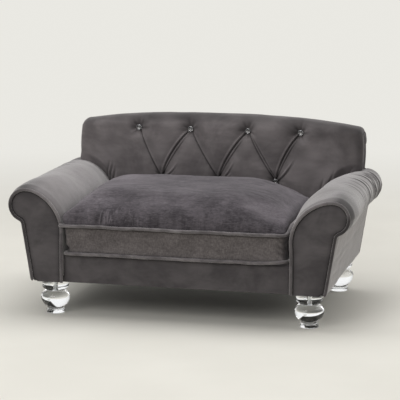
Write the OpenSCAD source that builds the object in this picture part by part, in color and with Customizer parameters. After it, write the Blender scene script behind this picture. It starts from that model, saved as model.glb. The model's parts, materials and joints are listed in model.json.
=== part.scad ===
// Dog sofa bed: a small scroll-arm sofa with a button-tufted back, a loose box cushion and clear feet.
// Lengths are in millimetres. X runs to the right as seen from the front, the front faces -Y and Z is up.
// The origin lies on the floor, under the middle of the whole piece.

/* [Overall] */
// Width across the outer edges of the two arm rolls
sofa_width = 840; // [800:5:900]
// Depth from the cushion's front piping to the rear of the rolled back
sofa_depth = 530; // [510:5:580]
// Height from the floor to the crest of the back
sofa_height = 447; // [435:1:470]
// Height of the upholstery's underside above the floor, which is the height of a foot
foot_height = 88; // [80:1:100]

/* [Arms] */
// Breadth of each arm, from the seat to the outer edge of its roll
arm_breadth = 141; // [130:1:150]
// Height of the arms above the floor, as a share of the whole height
arm_height_share = 0.7058; // [0.68:0.0001:0.73]
// Height at which the inner face of the arm starts to curve outwards, as a share of the arm's height
arm_shoulder_share = 0.634; // [0.6:0.001:0.68]
// Radius of the scroll roll along the outside of each arm
arm_roll_r = 39.5; // [36:0.5:42]
// How far the foot of the arm's outer side lies inside the roll's outer edge
arm_foot_in = 61; // [56:1:66]
// Lean of the arm's outer side from the vertical, in degrees
arm_side_lean = 9.3; // [8:0.1:11]
// Radius of the hollow under the roll
arm_notch_r = 12; // [8:0.5:15]
// Radius of the rounded lower edge of the arm's outer side
arm_corner_r = 10; // [7:0.5:12]
// Thickness of the foam wrapped round the arm
arm_foam = 15; // [12:0.5:16]
// Radius of the piping round the arm fronts
arm_piping_r = 3.5; // [2.5:0.1:4]
// Thickness of the padded facing inside the arm piping
arm_facing = 3; // [2:0.1:3.4]
// How far the arm fronts stand back from the cushion's front piping
arm_setback = 5; // [4.5:0.5:10]

/* [Back] */
// Radius of the roll along the top rear edge of the back
back_roll_r = 27; // [24:0.5:30]
// How far the roll hangs over the rear panel
back_overhang = 25; // [20:0.5:27]
// Depth of the rounding from the front face to the crest
back_round = 35; // [30:1:40]
// Lean of the front face from the vertical, in degrees
back_lean = 5.2; // [3:0.1:7]
// How much lower the crest is at the sides than in the middle
back_camber = 25; // [10:1:28]
// How far each side of the back lies inside the middle of the arm roll
back_side_in = 5.5; // [3:0.5:12]
// How far the upper row of buttons lies below the crest
upper_row_drop = 39; // [36:1:44]
// Height between the two rows of buttons
row_step = 127; // [112:1:132]
// Step between neighbouring buttons of the two rows, along X, as a share of half the seat's width
button_step_share = 0.2724; // [0.25:0.0001:0.28]
// The same share for the outermost buttons
outer_step_share = 0.2258; // [0.2:0.0001:0.235]
// How far the padding swells out in front of the buttons
tuft_depth = 16; // [10:0.5:18]
// Half width of the folds that run between the buttons
fold_half_width = 18; // [12:0.5:24]
// Radius of the dimple at each button
dimple_r = 22; // [16:0.5:28]
// Gap left between the wings of the back and the arms they sit on
wing_gap = 2; // [1.5:0.1:3]

/* [Cushion] */
// Height of the cushion's boxed edge, from its underside to the upper seam
cushion_edge = 73; // [65:1:80]
// Rise of the crown above the upper seam
cushion_crown = 84; // [65:1:92]
// Radius of the cushion piping
welt_r = 4; // [3:0.1:5]
// How far the boxing is drawn in between the two pipings
boxing_pinch = 5; // [3:0.1:7]
// Plan radius of the cushion's corners
cushion_corner_r = 16; // [15.5:0.5:34]
// Gap between the cushion and each arm
cushion_side_gap = 2.5; // [1.5:0.1:4]
// Least gap between the cushion and the swelling of the back as the cushion lifts
cushion_back_gap = 0.8; // [0.5:0.1:4]

/* [Zip] */
// Distance of the ends of the zip from the cushion's sides
zip_end_in = 56.5; // [50:0.5:85]
// Height of the zip tape
zip_tape_h = 24; // [20:0.5:25]
// Height of the closed chain of teeth
zip_chain_h = 6; // [4:0.5:7]
// Length of the slider along the zip
zip_slider_length = 12; // [9:0.5:15]

/* [Frame] */
// Thickness of the plywood panels
panel_t = 12; // [10:0.5:15]
// Thickness of the pine rails
rail_t = 18; // [15:0.5:20]
// Height of the pine rails
rail_h = 38; // [34:0.5:45]
// Thickness of the deck board
deck_t = 9; // [6:0.5:12]
// Thickness of the hardboard sheets inside the arms
hardboard_t = 4; // [3:0.1:5]
// Thickness of the foam on the deck
deck_foam = 8; // [5:0.5:10]
// Thickness of the foam in front of the front rail
rail_foam = 3.5; // [2.5:0.1:5]

/* [Fabric] */
// Thickness of the velvet with its backing
velvet_t = 1.5; // [1:0.1:2]
// Thickness of the tufted inner back cover with its quilted backing
quilt_t = 2; // [1.5:0.1:3]
// Thickness of the black cloth under the base
dust_cloth_t = 0.6; // [0.4:0.1:1]
// Depth of the velvet flap on top of the deck, behind the front edge
deck_flap = 60; // [40:1:80]

/* [Feet] */
// Radius of the drum at the top of a foot
foot_collar_r = 33; // [30:0.5:35]
// Height of that drum
foot_collar_h = 25; // [20:0.5:28]
// Radius of the squashed ball
foot_ball_r = 36; // [33:0.5:38]
// Radius of the necks above and below the ball
foot_neck_r = 19.5; // [17:0.5:21]
// Height of the necks
foot_neck_h = 4; // [3:0.5:5]
// Radius of the base that stands on the floor
foot_base_r = 22.5; // [21:0.5:26]
// Height of that base
foot_base_h = 9; // [7:0.5:11]
// Distance of the feet from the outer edge of the arm roll
foot_in_side = 101; // [99:1:104]
// Distance of the front feet from the arm fronts
foot_in_front = 58; // [50:1:70]
// Distance of the rear feet from the rear panel
foot_in_rear = 35; // [34:1:60]

/* [Hardware] */
// Radius of the hanger bolts in the feet
bolt_r = 4; // [3:0.5:4]
// Depth of a hanger bolt in its foot
bolt_depth = 24; // [20:1:30]
// Outer radius of a tee nut's barrel
tee_barrel_r = 5.2; // [5:0.1:6]
// Radius of a tee nut's flange
tee_flange_r = 11; // [9:0.5:12]
// Shank radius of the frame screws
screw_r = 1.9; // [1.5:0.1:2.2]
// Length of the frame screws
screw_length = 30; // [26:1:33]
// Radius of the crystal buttons
button_r = 6; // [5:0.5:7]
// Height of a crystal above its metal cup
crystal_h = 4; // [3:0.5:5]

/* [Hidden] */

// Shared clearances, and the overrun of every cut
soft_gap = 0.3;
seat_gap = 0.6;
running_gap = 0.05;
overrun = 1;

// Outer planes
front_y = -sofa_depth / 2;
rear_y = sofa_depth / 2;
body_front_y = front_y + arm_setback;
body_rear_y = rear_y - back_overhang;

// Heights of the layers from the floor to the seat
base_bottom = foot_height + dust_cloth_t;
base_top = base_bottom + panel_t;
rail_top = base_top + rail_h;
deck_top = rail_top + deck_t;
deck_cloth_t = 1.2;
deck_foam_top = deck_top + deck_foam;
seat_z = deck_foam_top + deck_cloth_t;

// Front and rear planes of the frame
arm_board_front_y = body_front_y + arm_facing;
rail_front_y = arm_board_front_y + panel_t;
panel_rear_y = body_rear_y - velvet_t;
panel_front_y = panel_rear_y - panel_t;
inner_half = sofa_width / 2 - arm_breadth;
rail_half = inner_half - seat_gap;

// Arm section
arm_height = sofa_height * arm_height_share;
arm_shoulder_z = arm_height * arm_shoulder_share;
arm_roll_x = sofa_width / 2 - arm_roll_r;
arm_roll_z = arm_height - arm_roll_r;
shoulder_a = arm_roll_x - inner_half;
shoulder_b = arm_height - arm_shoulder_z;
arm_core = velvet_t + arm_foam;
arm_foot_x = sofa_width / 2 - arm_foot_in;
side_up = [sin(arm_side_lean), cos(arm_side_lean)];
side_out = [cos(arm_side_lean), -sin(arm_side_lean)];
notch_from = [arm_foot_x, foot_height] + arm_notch_r * side_out - [arm_roll_x, arm_roll_z];
notch_along = notch_from * side_up;
notch_run = -notch_along
    - sqrt(notch_along * notch_along - notch_from * notch_from + pow(arm_roll_r + arm_notch_r, 2));
notch_centre = [arm_foot_x, foot_height] + arm_notch_r * side_out + notch_run * side_up;
notch_angle = atan2(notch_centre[1] - arm_roll_z, notch_centre[0] - arm_roll_x);
shoulder_steps = 14;
roll_steps = 8;
roll_angles = [
    for (i = [1 : roll_steps]) 90 - 90 * i / roll_steps,
    for (i = [1 : roll_steps]) notch_angle * i / roll_steps
];
notch_steps = 5;
corner_steps = 4;

// Back section and its grid
back_half = arm_roll_x - back_side_in;
back_end_x = back_half - velvet_t;
crest_y = rear_y - back_roll_r;
round_y = crest_y - back_round;
upper_row_z = sofa_height - upper_row_drop;
lower_row_z = upper_row_z - row_step;
back_low_z = deck_top + soft_gap;
roll_end = -acos((body_rear_y - crest_y) / back_roll_r);
camber_power = 2.6;
fold_share = 0.55;
rise_share = 0.43;
side_fade = 60;
low_row_shares = [0, 0.6, 1];
middle_rows = 5;
round_rows = 3;
upper_roll_rows = 3;
lower_roll_rows = 2;
low_rows = len(low_row_shares) - 1;
front_rows = low_rows + middle_rows;
crest_row = front_rows + round_rows;
rear_row = crest_row + upper_roll_rows;
last_row = rear_row + lower_roll_rows;
wing_columns = 5;
wing_chamfer = 3;
wing_end_angle = acos((arm_roll_x - back_end_x) / shoulder_a);
button_step = inner_half * button_step_share;
button_x = [0, button_step, 2 * button_step, 2 * button_step + inner_half * outer_step_share];
buttons = [for (i = [-3 : 3]) [sign(i) * button_x[abs(i)], i % 2 == 0 ? lower_row_z : upper_row_z]];

// Cushion
cushion_low_z = seat_z + soft_gap;
low_welt_z = cushion_low_z + welt_r;
top_seam_z = cushion_low_z + cushion_edge;
cushion_rear_y = back_line(top_seam_z) - tuft_depth - cushion_back_gap;
cushion_middle_y = (front_y + cushion_rear_y) / 2;
welt_half_x = inner_half - cushion_side_gap - welt_r;
welt_half_y = (cushion_rear_y - front_y) / 2 - welt_r;
seam_inset = welt_r + soft_gap;
seam_half_x = welt_half_x - seam_inset;
seam_half_y = welt_half_y - seam_inset;
bottom_inset = 12;
boxing_shares = [[0.2, 0.7], [0.5, 1], [0.8, 0.7]];
crown_shares = [0.97, 0.9, 0.78, 0.6, 0.35, 0.04];
crown_flatness = 4;
crown_power = 0.5;
slope_step = 0.5;
plan_arc_steps = 4;
plan_side_steps = 5;
tube_sides = 8;

// Zip
zip_gap = 1.1;
zip_tape_t = 1.2;
zip_chain_t = 1.6;
zip_z = (low_welt_z + top_seam_z) / 2;
zip_tape_y = cushion_middle_y + seam_half_y - boxing_pinch + zip_gap;
zip_chain_y = zip_tape_y + zip_tape_t;
zip_margin = 8;
zip_half = welt_half_x + welt_r - zip_end_in;
zip_chain_half = zip_half - zip_margin;
zip_stop_length = 3;
zip_stop_t = 2.4;
zip_slider_t = 3.4;
zip_slider_h = 10;
zip_rest_x = -zip_chain_half + zip_slider_length / 2 + soft_gap;
zip_travel = -2 * zip_rest_x;

// Hardware
foot_x = sofa_width / 2 - foot_in_side;
foot_places = [for (side = [-1, 1], end = [body_front_y + foot_in_front, body_rear_y - foot_in_rear])
    [side * foot_x, end]];
bolt_above = 1;
tee_flange_t = 1.6;
tee_barrel_h = 9;
foot_edge = 1.5;
foot_collar_round = 9;
screw_head_r = 4;
screw_head_h = 2.4;
rail_screw_shares = [0.215, 0.79];
arm_screw_ins = [8, 36];
cup_h = 3;
girdle_share = 0.25;
table_share = 0.6;
shank_r = 1.5;
shank_tip_r = 0.3;
shank_tip_h = 1.2;
cup_clear = 3.4;
tie_r = 0.9;
tie_gap = 0.2;
foam_hole_r = 2.5;
foam_cut_row = front_rows + 2;
cut_share = 0.04;
foam_over_board = 8;
knot_r = 2.4;
knot_l = 4;
fine = 48;

// Colours
velvet = "#4b484b";
plush = "#565258";
foam_yellow = "#e6dcae";
pine = "#d9b98a";
ply = "#caa472";
card = "#8a6b4a";
steel = "#b9bcc0";

function backwards(list) = [for (i = [len(list) - 1 : -1 : 0]) list[i]];
function flipped(points) = [for (p = backwards(points)) [-p[0], p[1]]];
function unit(v) = v / norm(v);
function mean(list) = list * [for (value = list) 1] / len(list);
function smooth(t) = let (s = min(1, max(0, t))) s * s * (3 - 2 * s);

// A point on the curve from the arm's inner face to the top of the roll, `inset` inside the velvet
function shoulder_point(angle, inset) =
    [arm_roll_x - shoulder_a * cos(angle), arm_shoulder_z + shoulder_b * sin(angle)]
    - inset * unit([-cos(angle) / shoulder_a, sin(angle) / shoulder_b]);

// X of the arm's outer side at a height, `inset` inside the velvet
function side_x(z, inset) =
    arm_foot_x + (z - foot_height) * tan(arm_side_lean) - inset / cos(arm_side_lean);

// The right arm's outline from a place on the shoulder over the roll to the lower edge of the outer side
function arm_outer_path(inset, from_angle, bottom) = concat(
    [for (i = [0 : shoulder_steps])
        shoulder_point(from_angle + (90 - from_angle) * i / shoulder_steps, inset)],
    [for (angle = roll_angles)
        [arm_roll_x, arm_roll_z] + (arm_roll_r - inset) * [cos(angle), sin(angle)]],
    [for (i = [1 : notch_steps])
        let (angle = notch_angle + 180 - (notch_angle + arm_side_lean) * i / notch_steps)
        notch_centre + (arm_notch_r + inset) * [cos(angle), sin(angle)]],
    inset < arm_corner_r
        ? [for (i = [0 : corner_steps])
            let (angle = -arm_side_lean - (90 - arm_side_lean) * i / corner_steps)
            [side_x(foot_height + arm_corner_r, arm_corner_r), foot_height + arm_corner_r]
                + (arm_corner_r - inset) * [cos(angle), sin(angle)]]
        : [[side_x(bottom, inset), bottom]]
);

// The same outline with the arm's inner face, which starts at `inner_bottom`
function arm_path(inset, inner_bottom, bottom) =
    concat([[inner_half + inset, inner_bottom]], arm_outer_path(inset, 0, bottom));

// Height of the crest at x, and the front face of the back before it swells
function crest_z(x) = sofa_height - back_camber * pow(abs(x) / back_half, camber_power);
function back_line(z) = round_y - (upper_row_z - z) * tan(back_lean);

function distance_to(p, a, b) =
    let (along = min(1, max(0, (p - a) * (b - a) / ((b - a) * (b - a)))))
    norm(p - a - along * (b - a));

// Share of the full swelling at a place on the front face: none at a button, little along a fold
function swelling(x, z) =
    let (
        p = [x, z],
        to_fold = min([for (i = [0 : len(buttons) - 2]) distance_to(p, buttons[i], buttons[i + 1])]),
        to_button = min([for (b = buttons) norm(p - b)])
    )
    1 - fold_share * exp(-pow(to_fold / fold_half_width, 2))
      - (1 - fold_share) * exp(-pow(to_button / dimple_r, 2));

// One point of the back's section, [y, z, inward y, inward z], for a row of the grid at x
function row_z(row) = row <= low_rows
    ? back_low_z + (lower_row_z - back_low_z) * low_row_shares[row]
    : lower_row_z + (upper_row_z - lower_row_z) * (row - low_rows) / middle_rows;
function plain_row(x, low_z, row) =
    row <= front_rows
    ? let (share = (row_z(row) - back_low_z) / (upper_row_z - back_low_z),
           z = low_z + (upper_row_z - low_z) * share)
        [back_line(z), z, cos(back_lean), -sin(back_lean)]
    : row <= crest_row
    ? let (angle = 90 * (row - front_rows) / round_rows,
           rise = crest_z(x) - upper_row_z,
           inward = unit([cos(angle) / back_round, -sin(angle) / rise]))
        [crest_y - back_round * cos(angle), upper_row_z + rise * sin(angle), inward[0], inward[1]]
    : let (angle = row <= rear_row
            ? 90 - 90 * (row - crest_row) / upper_roll_rows
            : roll_end * (row - rear_row) / lower_roll_rows)
        [crest_y + back_roll_r * cos(angle), crest_z(x) - back_roll_r + back_roll_r * sin(angle),
         -cos(angle), -sin(angle)];

// The tufted surface, `depth` behind the velvet
function back_point(x, low_z, row, depth) =
    let (
        plain = plain_row(x, low_z, row),
        z = plain[1],
        low_fade = smooth((z - low_z) / (rise_share * (upper_row_z - low_z))),
        top_fade = row <= front_rows ? 1 : pow(max(0, cos(90 * (row - front_rows) / round_rows)), 2),
        out = row > crest_row ? 0
            : tuft_depth * swelling(x, z) * low_fade * top_fade * smooth((back_end_x - abs(x)) / side_fade)
    )
    [x, plain[0] + (depth - out) * plain[2], z + (depth - out) * plain[3]];

// Columns of the back's grid, [x, lowest z]: between the arms, then up and over the arm's curve
knots = concat(button_x, [inner_half - wing_gap - wing_chamfer]);
knot_steps = [3, 3, 3, 2];
right_columns = concat(
    [for (k = [0 : len(knot_steps) - 1], i = [0 : knot_steps[k] - 1])
        [knots[k] + (knots[k + 1] - knots[k]) * i / knot_steps[k], back_low_z]],
    [[knots[len(knots) - 1], back_low_z]],
    [for (k = [0 : wing_columns])
        let (p = shoulder_point(wing_end_angle * k / wing_columns, -wing_gap))
        [k == wing_columns ? back_end_x : p[0], p[1]]]
);
columns = concat(
    [for (i = [len(right_columns) - 1 : -1 : 1]) [-right_columns[i][0], right_columns[i][1]]],
    right_columns
);
camber_xs = [for (i = [6 : -1 : -6]) back_end_x * i / 6];

// Top edge of the back board, inside the foam
function board_top(x) =
    back_point(x, back_low_z, foam_cut_row, quilt_t + soft_gap)[2] - foam_over_board;

// Top edge of the outer back cover, under the rear edge of the roll
function under_roll(x) = crest_z(x) - back_roll_r + back_roll_r * sin(roll_end) - soft_gap;

// A closed surface through rings of points that run counterclockwise, seen from where the rings lead to.
// It is joined into a loop or capped at both ends, and `fans` draws each cap as triangles about its middle.
// The first `turned` walls of each ring are split along their other diagonal.
module skin(rings, looped = false, fans = false, turned = 0) {
    count = len(rings);
    sides = len(rings[0]);
    middles = [for (ring = [rings[0], rings[count - 1]]) [for (k = [0 : 2]) mean([for (p = ring) p[k]])]];
    walls = [for (i = [0 : count - (looped ? 1 : 2)], j = [0 : sides - 1])
        let (
            a = i * sides + j,
            b = i * sides + (j + 1) % sides,
            c = ((i + 1) % count) * sides + j,
            d = ((i + 1) % count) * sides + (j + 1) % sides
        )
        each j < turned ? [[a, c, b], [b, c, d]] : [[a, d, b], [a, c, d]]];
    caps = looped ? [] : fans
        ? [for (j = [0 : sides - 1])
            let (a = j, b = (j + 1) % sides, top = (count - 1) * sides)
            each [[a, b, count * sides], [top + b, top + a, count * sides + 1]]]
        : [[for (j = [0 : sides - 1]) j], [for (j = [sides - 1 : -1 : 0]) (count - 1) * sides + j]];
    polyhedron(concat([for (ring = rings) each ring], fans ? middles : []), concat(walls, caps));
}

// Rings of a round tube along a flat path whose plane has the normal `up`
function tube_rings(path, r, up, looped) =
    let (last = len(path) - 1)
    [for (i = [0 : last])
        let (
            before = i == 0 ? (looped ? path[last] : path[0]) : path[i - 1],
            after = i == last ? (looped ? path[0] : path[last]) : path[i + 1],
            side = unit(cross(up, after - before))
        )
        [for (k = [0 : tube_sides - 1])
            path[i] + r * (cos(360 * k / tube_sides) * side + sin(360 * k / tube_sides) * up)]];

module along_y(from, to) {
    translate([0, to, 0]) rotate([90, 0, 0]) linear_extrude(to - from) children();
}

module box(x0, x1, y0, y1, z0, z1) {
    translate([x0, y0, z0]) cube([x1 - x0, y1 - y0, z1 - z0]);
}

module on_left() {
    mirror([1, 0, 0]) children();
}

// Screws, with their heads at the origin and their shanks along +Z
module screw() {
    cylinder(r = screw_head_r, h = screw_head_h, $fn = fine);
    cylinder(r = screw_r, h = screw_length, $fn = fine);
}

module screw_hole() {
    translate([0, 0, -overrun])
        cylinder(r = screw_head_r + running_gap, h = screw_head_h + overrun, $fn = fine);
    cylinder(r = screw_r + running_gap, h = screw_length + running_gap, $fn = fine);
}

module at_rail_screws(y) {
    for (share = rail_screw_shares, side = [-1, 1])
        translate([side * share * rail_half, y, base_bottom]) children();
}

module at_arm_rear_screws() {
    for (in = arm_screw_ins, side = [-1, 1])
        translate([side * (inner_half + arm_core + in), panel_front_y + panel_t / 2, base_bottom]) children();
}

module at_arm_front_screws() {
    for (in = arm_screw_ins, side = [-1, 1])
        translate([side * (inner_half + arm_core + in), arm_board_front_y, base_bottom + panel_t / 2])
            rotate([-90, 0, 0]) children();
}

module at_back_screws() {
    for (share = rail_screw_shares, side = [-1, 1])
        translate([side * share * rail_half, panel_rear_y, base_top + rail_h / 2])
            rotate([90, 0, 0]) children();
}

module at_feet() {
    for (place = foot_places) translate([place[0], place[1], 0]) children();
}

module at_buttons() {
    for (b = buttons) translate([b[0], back_line(b[1]), b[1]]) children();
}

// Wooden frame

module base_board() {
    color(ply) difference() {
        box(-side_x(base_top, arm_core) + soft_gap, side_x(base_top, arm_core) - soft_gap,
            rail_front_y, panel_rear_y, base_bottom, base_top);
        at_feet() translate([0, 0, base_bottom - overrun])
            cylinder(r = tee_barrel_r + running_gap, h = panel_t + 2 * overrun, $fn = fine);
        at_rail_screws(rail_front_y + rail_t / 2) screw_hole();
        at_rail_screws(panel_front_y - rail_t / 2) screw_hole();
        at_arm_rear_screws() screw_hole();
        at_arm_front_screws() screw_hole();
    }
}

module front_rail() {
    color(pine) difference() {
        box(-rail_half, rail_half, rail_front_y, rail_front_y + rail_t, base_top, rail_top);
        at_rail_screws(rail_front_y + rail_t / 2) screw_hole();
    }
}

module rear_rail() {
    color(pine) difference() {
        box(-rail_half, rail_half, panel_front_y - rail_t, panel_front_y, base_top, rail_top);
        at_rail_screws(panel_front_y - rail_t / 2) screw_hole();
        at_back_screws() screw_hole();
    }
}

module long_rail(x) {
    color(pine) box(x, x + rail_t, rail_front_y + rail_t, panel_front_y - rail_t,
        base_top, rail_top);
}

module right_side_rail() {
    long_rail(rail_half - rail_t);
}

module left_side_rail() {
    on_left() right_side_rail();
}

module centre_rail() {
    long_rail(-rail_t / 2);
}

module deck_board() {
    color(ply) box(-rail_half, rail_half, rail_front_y, panel_front_y, rail_top, deck_top);
}

module back_board() {
    side = concat(
        [[inner_half - wing_gap, base_top]],
        [for (k = [0 : wing_columns])
            shoulder_point(wing_end_angle * k / wing_columns, -wing_gap)]
    );
    edge = concat(
        [for (p = side) [min(p[0], back_end_x), p[1]]],
        [for (x = camber_xs) [x, board_top(x)]],
        flipped([for (p = side) [min(p[0], back_end_x), p[1]]])
    );
    color(ply) difference() {
        along_y(panel_front_y, panel_rear_y) polygon(edge);
        at_back_screws() screw_hole();
        for (b = buttons) translate([b[0], panel_rear_y + overrun, b[1]]) rotate([90, 0, 0]) {
            cylinder(r = knot_r + running_gap, h = knot_l + overrun, $fn = fine);
            cylinder(r = tie_r + tie_gap, h = panel_t + 2 * overrun, $fn = fine);
        }
    }
}

module arm_board(y0, y1, bottom) {
    along_y(y0, y1) polygon(arm_path(arm_core, bottom, bottom));
}

module right_arm_front_board() {
    color(ply) difference() {
        arm_board(arm_board_front_y, rail_front_y, base_bottom);
        at_arm_front_screws() screw_hole();
    }
}

module left_arm_front_board() {
    on_left() right_arm_front_board();
}

module right_arm_rear_board() {
    color(ply) difference() {
        arm_board(panel_front_y, panel_rear_y, base_top);
        at_arm_rear_screws() screw_hole();
    }
}

module left_arm_rear_board() {
    on_left() right_arm_rear_board();
}

// A square batten that just fits inside the foam of the roll
module right_arm_top_rail() {
    half = (arm_roll_r - arm_core) / sqrt(2) - soft_gap;
    color(pine) box(arm_roll_x - half, arm_roll_x + half, rail_front_y, panel_front_y,
        arm_roll_z - half, arm_roll_z + half);
}

module left_arm_top_rail() {
    on_left() right_arm_top_rail();
}

module right_arm_inner_sheet() {
    x = inner_half + arm_core;
    color(card) box(x, x + hardboard_t, rail_front_y, panel_front_y, base_top, arm_shoulder_z);
}

module left_arm_inner_sheet() {
    on_left() right_arm_inner_sheet();
}

module right_arm_outer_sheet() {
    color(card) along_y(rail_front_y, panel_front_y) polygon([
        for (gone = [0, hardboard_t]) each
            let (ends = [base_top, arm_shoulder_z])
            [for (z = gone == 0 ? ends : backwards(ends)) [side_x(z, arm_core + soft_gap + gone), z]]
    ]);
}

module left_arm_outer_sheet() {
    on_left() right_arm_outer_sheet();
}

// Padding

module right_arm_padding() {
    core = arm_path(arm_core, base_top, base_top);
    lip = [side_x(base_top, arm_core), foot_height + velvet_t];
    color(foam_yellow) along_y(arm_board_front_y, panel_rear_y)
        polygon(concat(arm_path(velvet_t, base_top, base_top), [lip], backwards(core)));
}

module left_arm_padding() {
    on_left() right_arm_padding();
}

module back_padding() {
    depth = quilt_t + soft_gap;
    y = panel_front_y - soft_gap;
    color(foam_yellow) difference() {
        skin([for (c = columns)
            let (
                seam = back_point(c[0], c[1], foam_cut_row, depth),
                below = back_point(c[0], c[1], foam_cut_row - 1, depth),
                top = seam + (below - seam) * cut_share
            )
            concat(
                [[c[0], y, c[1]], [c[0], y, top[2]], top],
                [for (row = [foam_cut_row - 1 : -1 : 0]) back_point(c[0], c[1], row, depth)]
            )]);
        at_buttons() rotate([-90, 0, 0]) cylinder(r = foam_hole_r, h = sofa_depth, $fn = fine);
    }
}

// The foam roll over and behind the top of the back board
module back_roll_padding() {
    depth = quilt_t + soft_gap;
    y = panel_rear_y + soft_gap;
    color(foam_yellow) skin([for (c = columns)
        let (
            top = back_point(c[0], c[1], foam_cut_row, depth),
            low = board_top(c[0]) + soft_gap,
            rear = back_point(c[0], c[1], last_row, depth)
        )
        concat(
            [[c[0], panel_front_y, top[2]], [c[0], panel_front_y, low], [c[0], y, low], [c[0], y, rear[2]]],
            [for (row = [last_row : -1 : foam_cut_row]) back_point(c[0], c[1], row, depth)]
        )]);
}

module deck_padding() {
    color(foam_yellow) box(-rail_half, rail_half, rail_front_y - rail_foam,
        back_line(deck_top) - seat_gap, deck_top, deck_foam_top);
}

module front_rail_padding() {
    color(foam_yellow) box(-rail_half, rail_half, rail_front_y - rail_foam, rail_front_y,
        base_bottom, deck_top);
}

// Velvet and cloth

module right_arm_cover() {
    color(velvet) along_y(arm_board_front_y, panel_rear_y) polygon(concat(
        arm_path(0, base_top, base_top), backwards(arm_path(velvet_t, base_top, base_top))));
}

module left_arm_cover() {
    on_left() right_arm_cover();
}

module right_arm_facing() {
    inset = 2 * arm_piping_r + 2 * soft_gap;
    color(velvet) along_y(body_front_y, arm_board_front_y)
        polygon(arm_path(inset, foot_height, foot_height));
}

module left_arm_facing() {
    on_left() right_arm_facing();
}

module right_arm_piping() {
    y = arm_board_front_y - arm_piping_r;
    path = arm_path(arm_piping_r + soft_gap, foot_height, foot_height);
    color(velvet) skin(tube_rings([for (p = path) [p[0], y, p[1]]], arm_piping_r, [0, 1, 0], false));
}

module left_arm_piping() {
    on_left() right_arm_piping();
}

module front_rail_cover() {
    front = rail_front_y - rail_foam;
    color(velvet) rotate([90, 0, 90]) translate([0, 0, -rail_half]) linear_extrude(2 * rail_half)
        polygon([
            [front - velvet_t, foot_height], [front, foot_height], [front, deck_foam_top],
            [front + deck_flap, deck_foam_top], [front + deck_flap, seat_z], [front - velvet_t, seat_z]
        ]);
}

module deck_cover() {
    color("#3a383b") box(-rail_half, rail_half, rail_front_y - rail_foam + deck_flap,
        back_line(deck_top) - seat_gap, deck_foam_top, seat_z);
}

module inner_back_cover() {
    color(velvet) skin([for (c = columns) concat(
        [for (row = [0 : last_row]) back_point(c[0], c[1], row, quilt_t)],
        [for (row = [last_row : -1 : 0]) back_point(c[0], c[1], row, 0)]
    )], turned = last_row);
}

module right_back_gusset() {
    end = columns[len(columns) - 1];
    rows = [for (row = [0 : last_row]) let (p = back_point(end[0], end[1], row, 0)) [p[1], p[2]]];
    color(velvet) translate([back_end_x, 0, 0]) rotate([90, 0, 90]) linear_extrude(velvet_t)
        polygon(concat(rows, [[body_rear_y, end[1]]]));
}

module left_back_gusset() {
    on_left() right_back_gusset();
}

module outer_back_cover() {
    side_angle = acos((arm_roll_x - back_end_x) / shoulder_a);
    arm_edge = backwards(arm_outer_path(0, side_angle, base_top));
    color(velvet) along_y(panel_rear_y, body_rear_y) polygon(concat(
        arm_edge, [for (x = camber_xs) [x, under_roll(x)]], flipped(arm_edge)));
}

module dust_cover() {
    half = side_x(foot_height + arm_corner_r, arm_corner_r) - soft_gap;
    color("#1f1e20") difference() {
        box(-half, half, rail_front_y - rail_foam + soft_gap, panel_rear_y, foot_height, base_bottom);
        at_feet() translate([0, 0, foot_height - overrun])
            cylinder(r = tee_barrel_r + running_gap, h = dust_cloth_t + 2 * overrun, $fn = fine);
    }
}

// Crystal buttons, with their shanks down in the tufts

module button_cups() {
    color(steel) at_buttons() rotate([90, 0, 0]) {
        translate([0, 0, tie_gap])
            cylinder(r1 = shank_tip_r, r2 = shank_r, h = shank_tip_h, $fn = fine);
        translate([0, 0, tie_gap + shank_tip_h])
            cylinder(r = shank_r, h = cup_clear + overrun - tie_gap - shank_tip_h, $fn = fine);
        translate([0, 0, cup_clear])
            cylinder(r1 = shank_r, r2 = button_r + velvet_t / 2, h = cup_h, $fn = fine);
    }
}

module button_crystals() {
    color("#e9edf2") at_buttons() rotate([90, 0, 0]) translate([0, 0, cup_clear + cup_h])
        rotate_extrude($fn = fine) polygon([
            [0, 0], [button_r, 0], [button_r, crystal_h * girdle_share],
            [button_r * table_share, crystal_h], [0, crystal_h]
        ]);
}

module button_ties() {
    color("#d8d2c4") for (b = buttons) {
        start = back_line(b[1]) + quilt_t + soft_gap;
        translate([b[0], start, b[1]]) rotate([-90, 0, 0])
            cylinder(r = tie_r, h = panel_rear_y - start, $fn = fine);
        translate([b[0], panel_rear_y - knot_l, b[1]]) rotate([-90, 0, 0])
            cylinder(r = knot_r, h = knot_l, $fn = fine);
    }
}

// Feet and hardware

module foot(place) {
    low = foot_base_h + foot_neck_h;
    high = foot_height - foot_collar_h - foot_neck_h;
    ball = [for (angle = [-90 : 15 : 90])
        [foot_neck_r + (foot_ball_r - foot_neck_r) * cos(angle),
         (low + high) / 2 + (high - low) / 2 * sin(angle)]];
    collar = [for (angle = [0 : 15 : 90])
        [foot_neck_r + (foot_collar_r - foot_neck_r) * sin(angle),
         high + foot_neck_h + foot_collar_round * (1 - cos(angle))]];
    color("#eef3f6", 0.5) translate([foot_places[place][0], foot_places[place][1], 0]) difference() {
        rotate_extrude($fn = 2 * fine) polygon(concat(
            [[0, 0], [foot_base_r - foot_edge, 0], [foot_base_r, foot_edge],
             [foot_base_r, foot_base_h - foot_edge], [foot_neck_r, foot_base_h]],
            ball, collar,
            [[foot_collar_r, foot_height - foot_edge], [foot_collar_r - foot_edge, foot_height],
             [0, foot_height]]
        ));
        translate([0, 0, foot_height - bolt_depth - running_gap])
            cylinder(r = bolt_r + running_gap, h = bolt_depth + overrun, $fn = fine);
    }
}

module front_left_foot() {
    foot(0);
}

module rear_left_foot() {
    foot(1);
}

module front_right_foot() {
    foot(2);
}

module rear_right_foot() {
    foot(3);
}

module foot_bolts() {
    color(steel) at_feet() translate([0, 0, foot_height - bolt_depth])
        cylinder(r = bolt_r, h = bolt_depth + dust_cloth_t + panel_t + bolt_above, $fn = fine);
}

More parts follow.
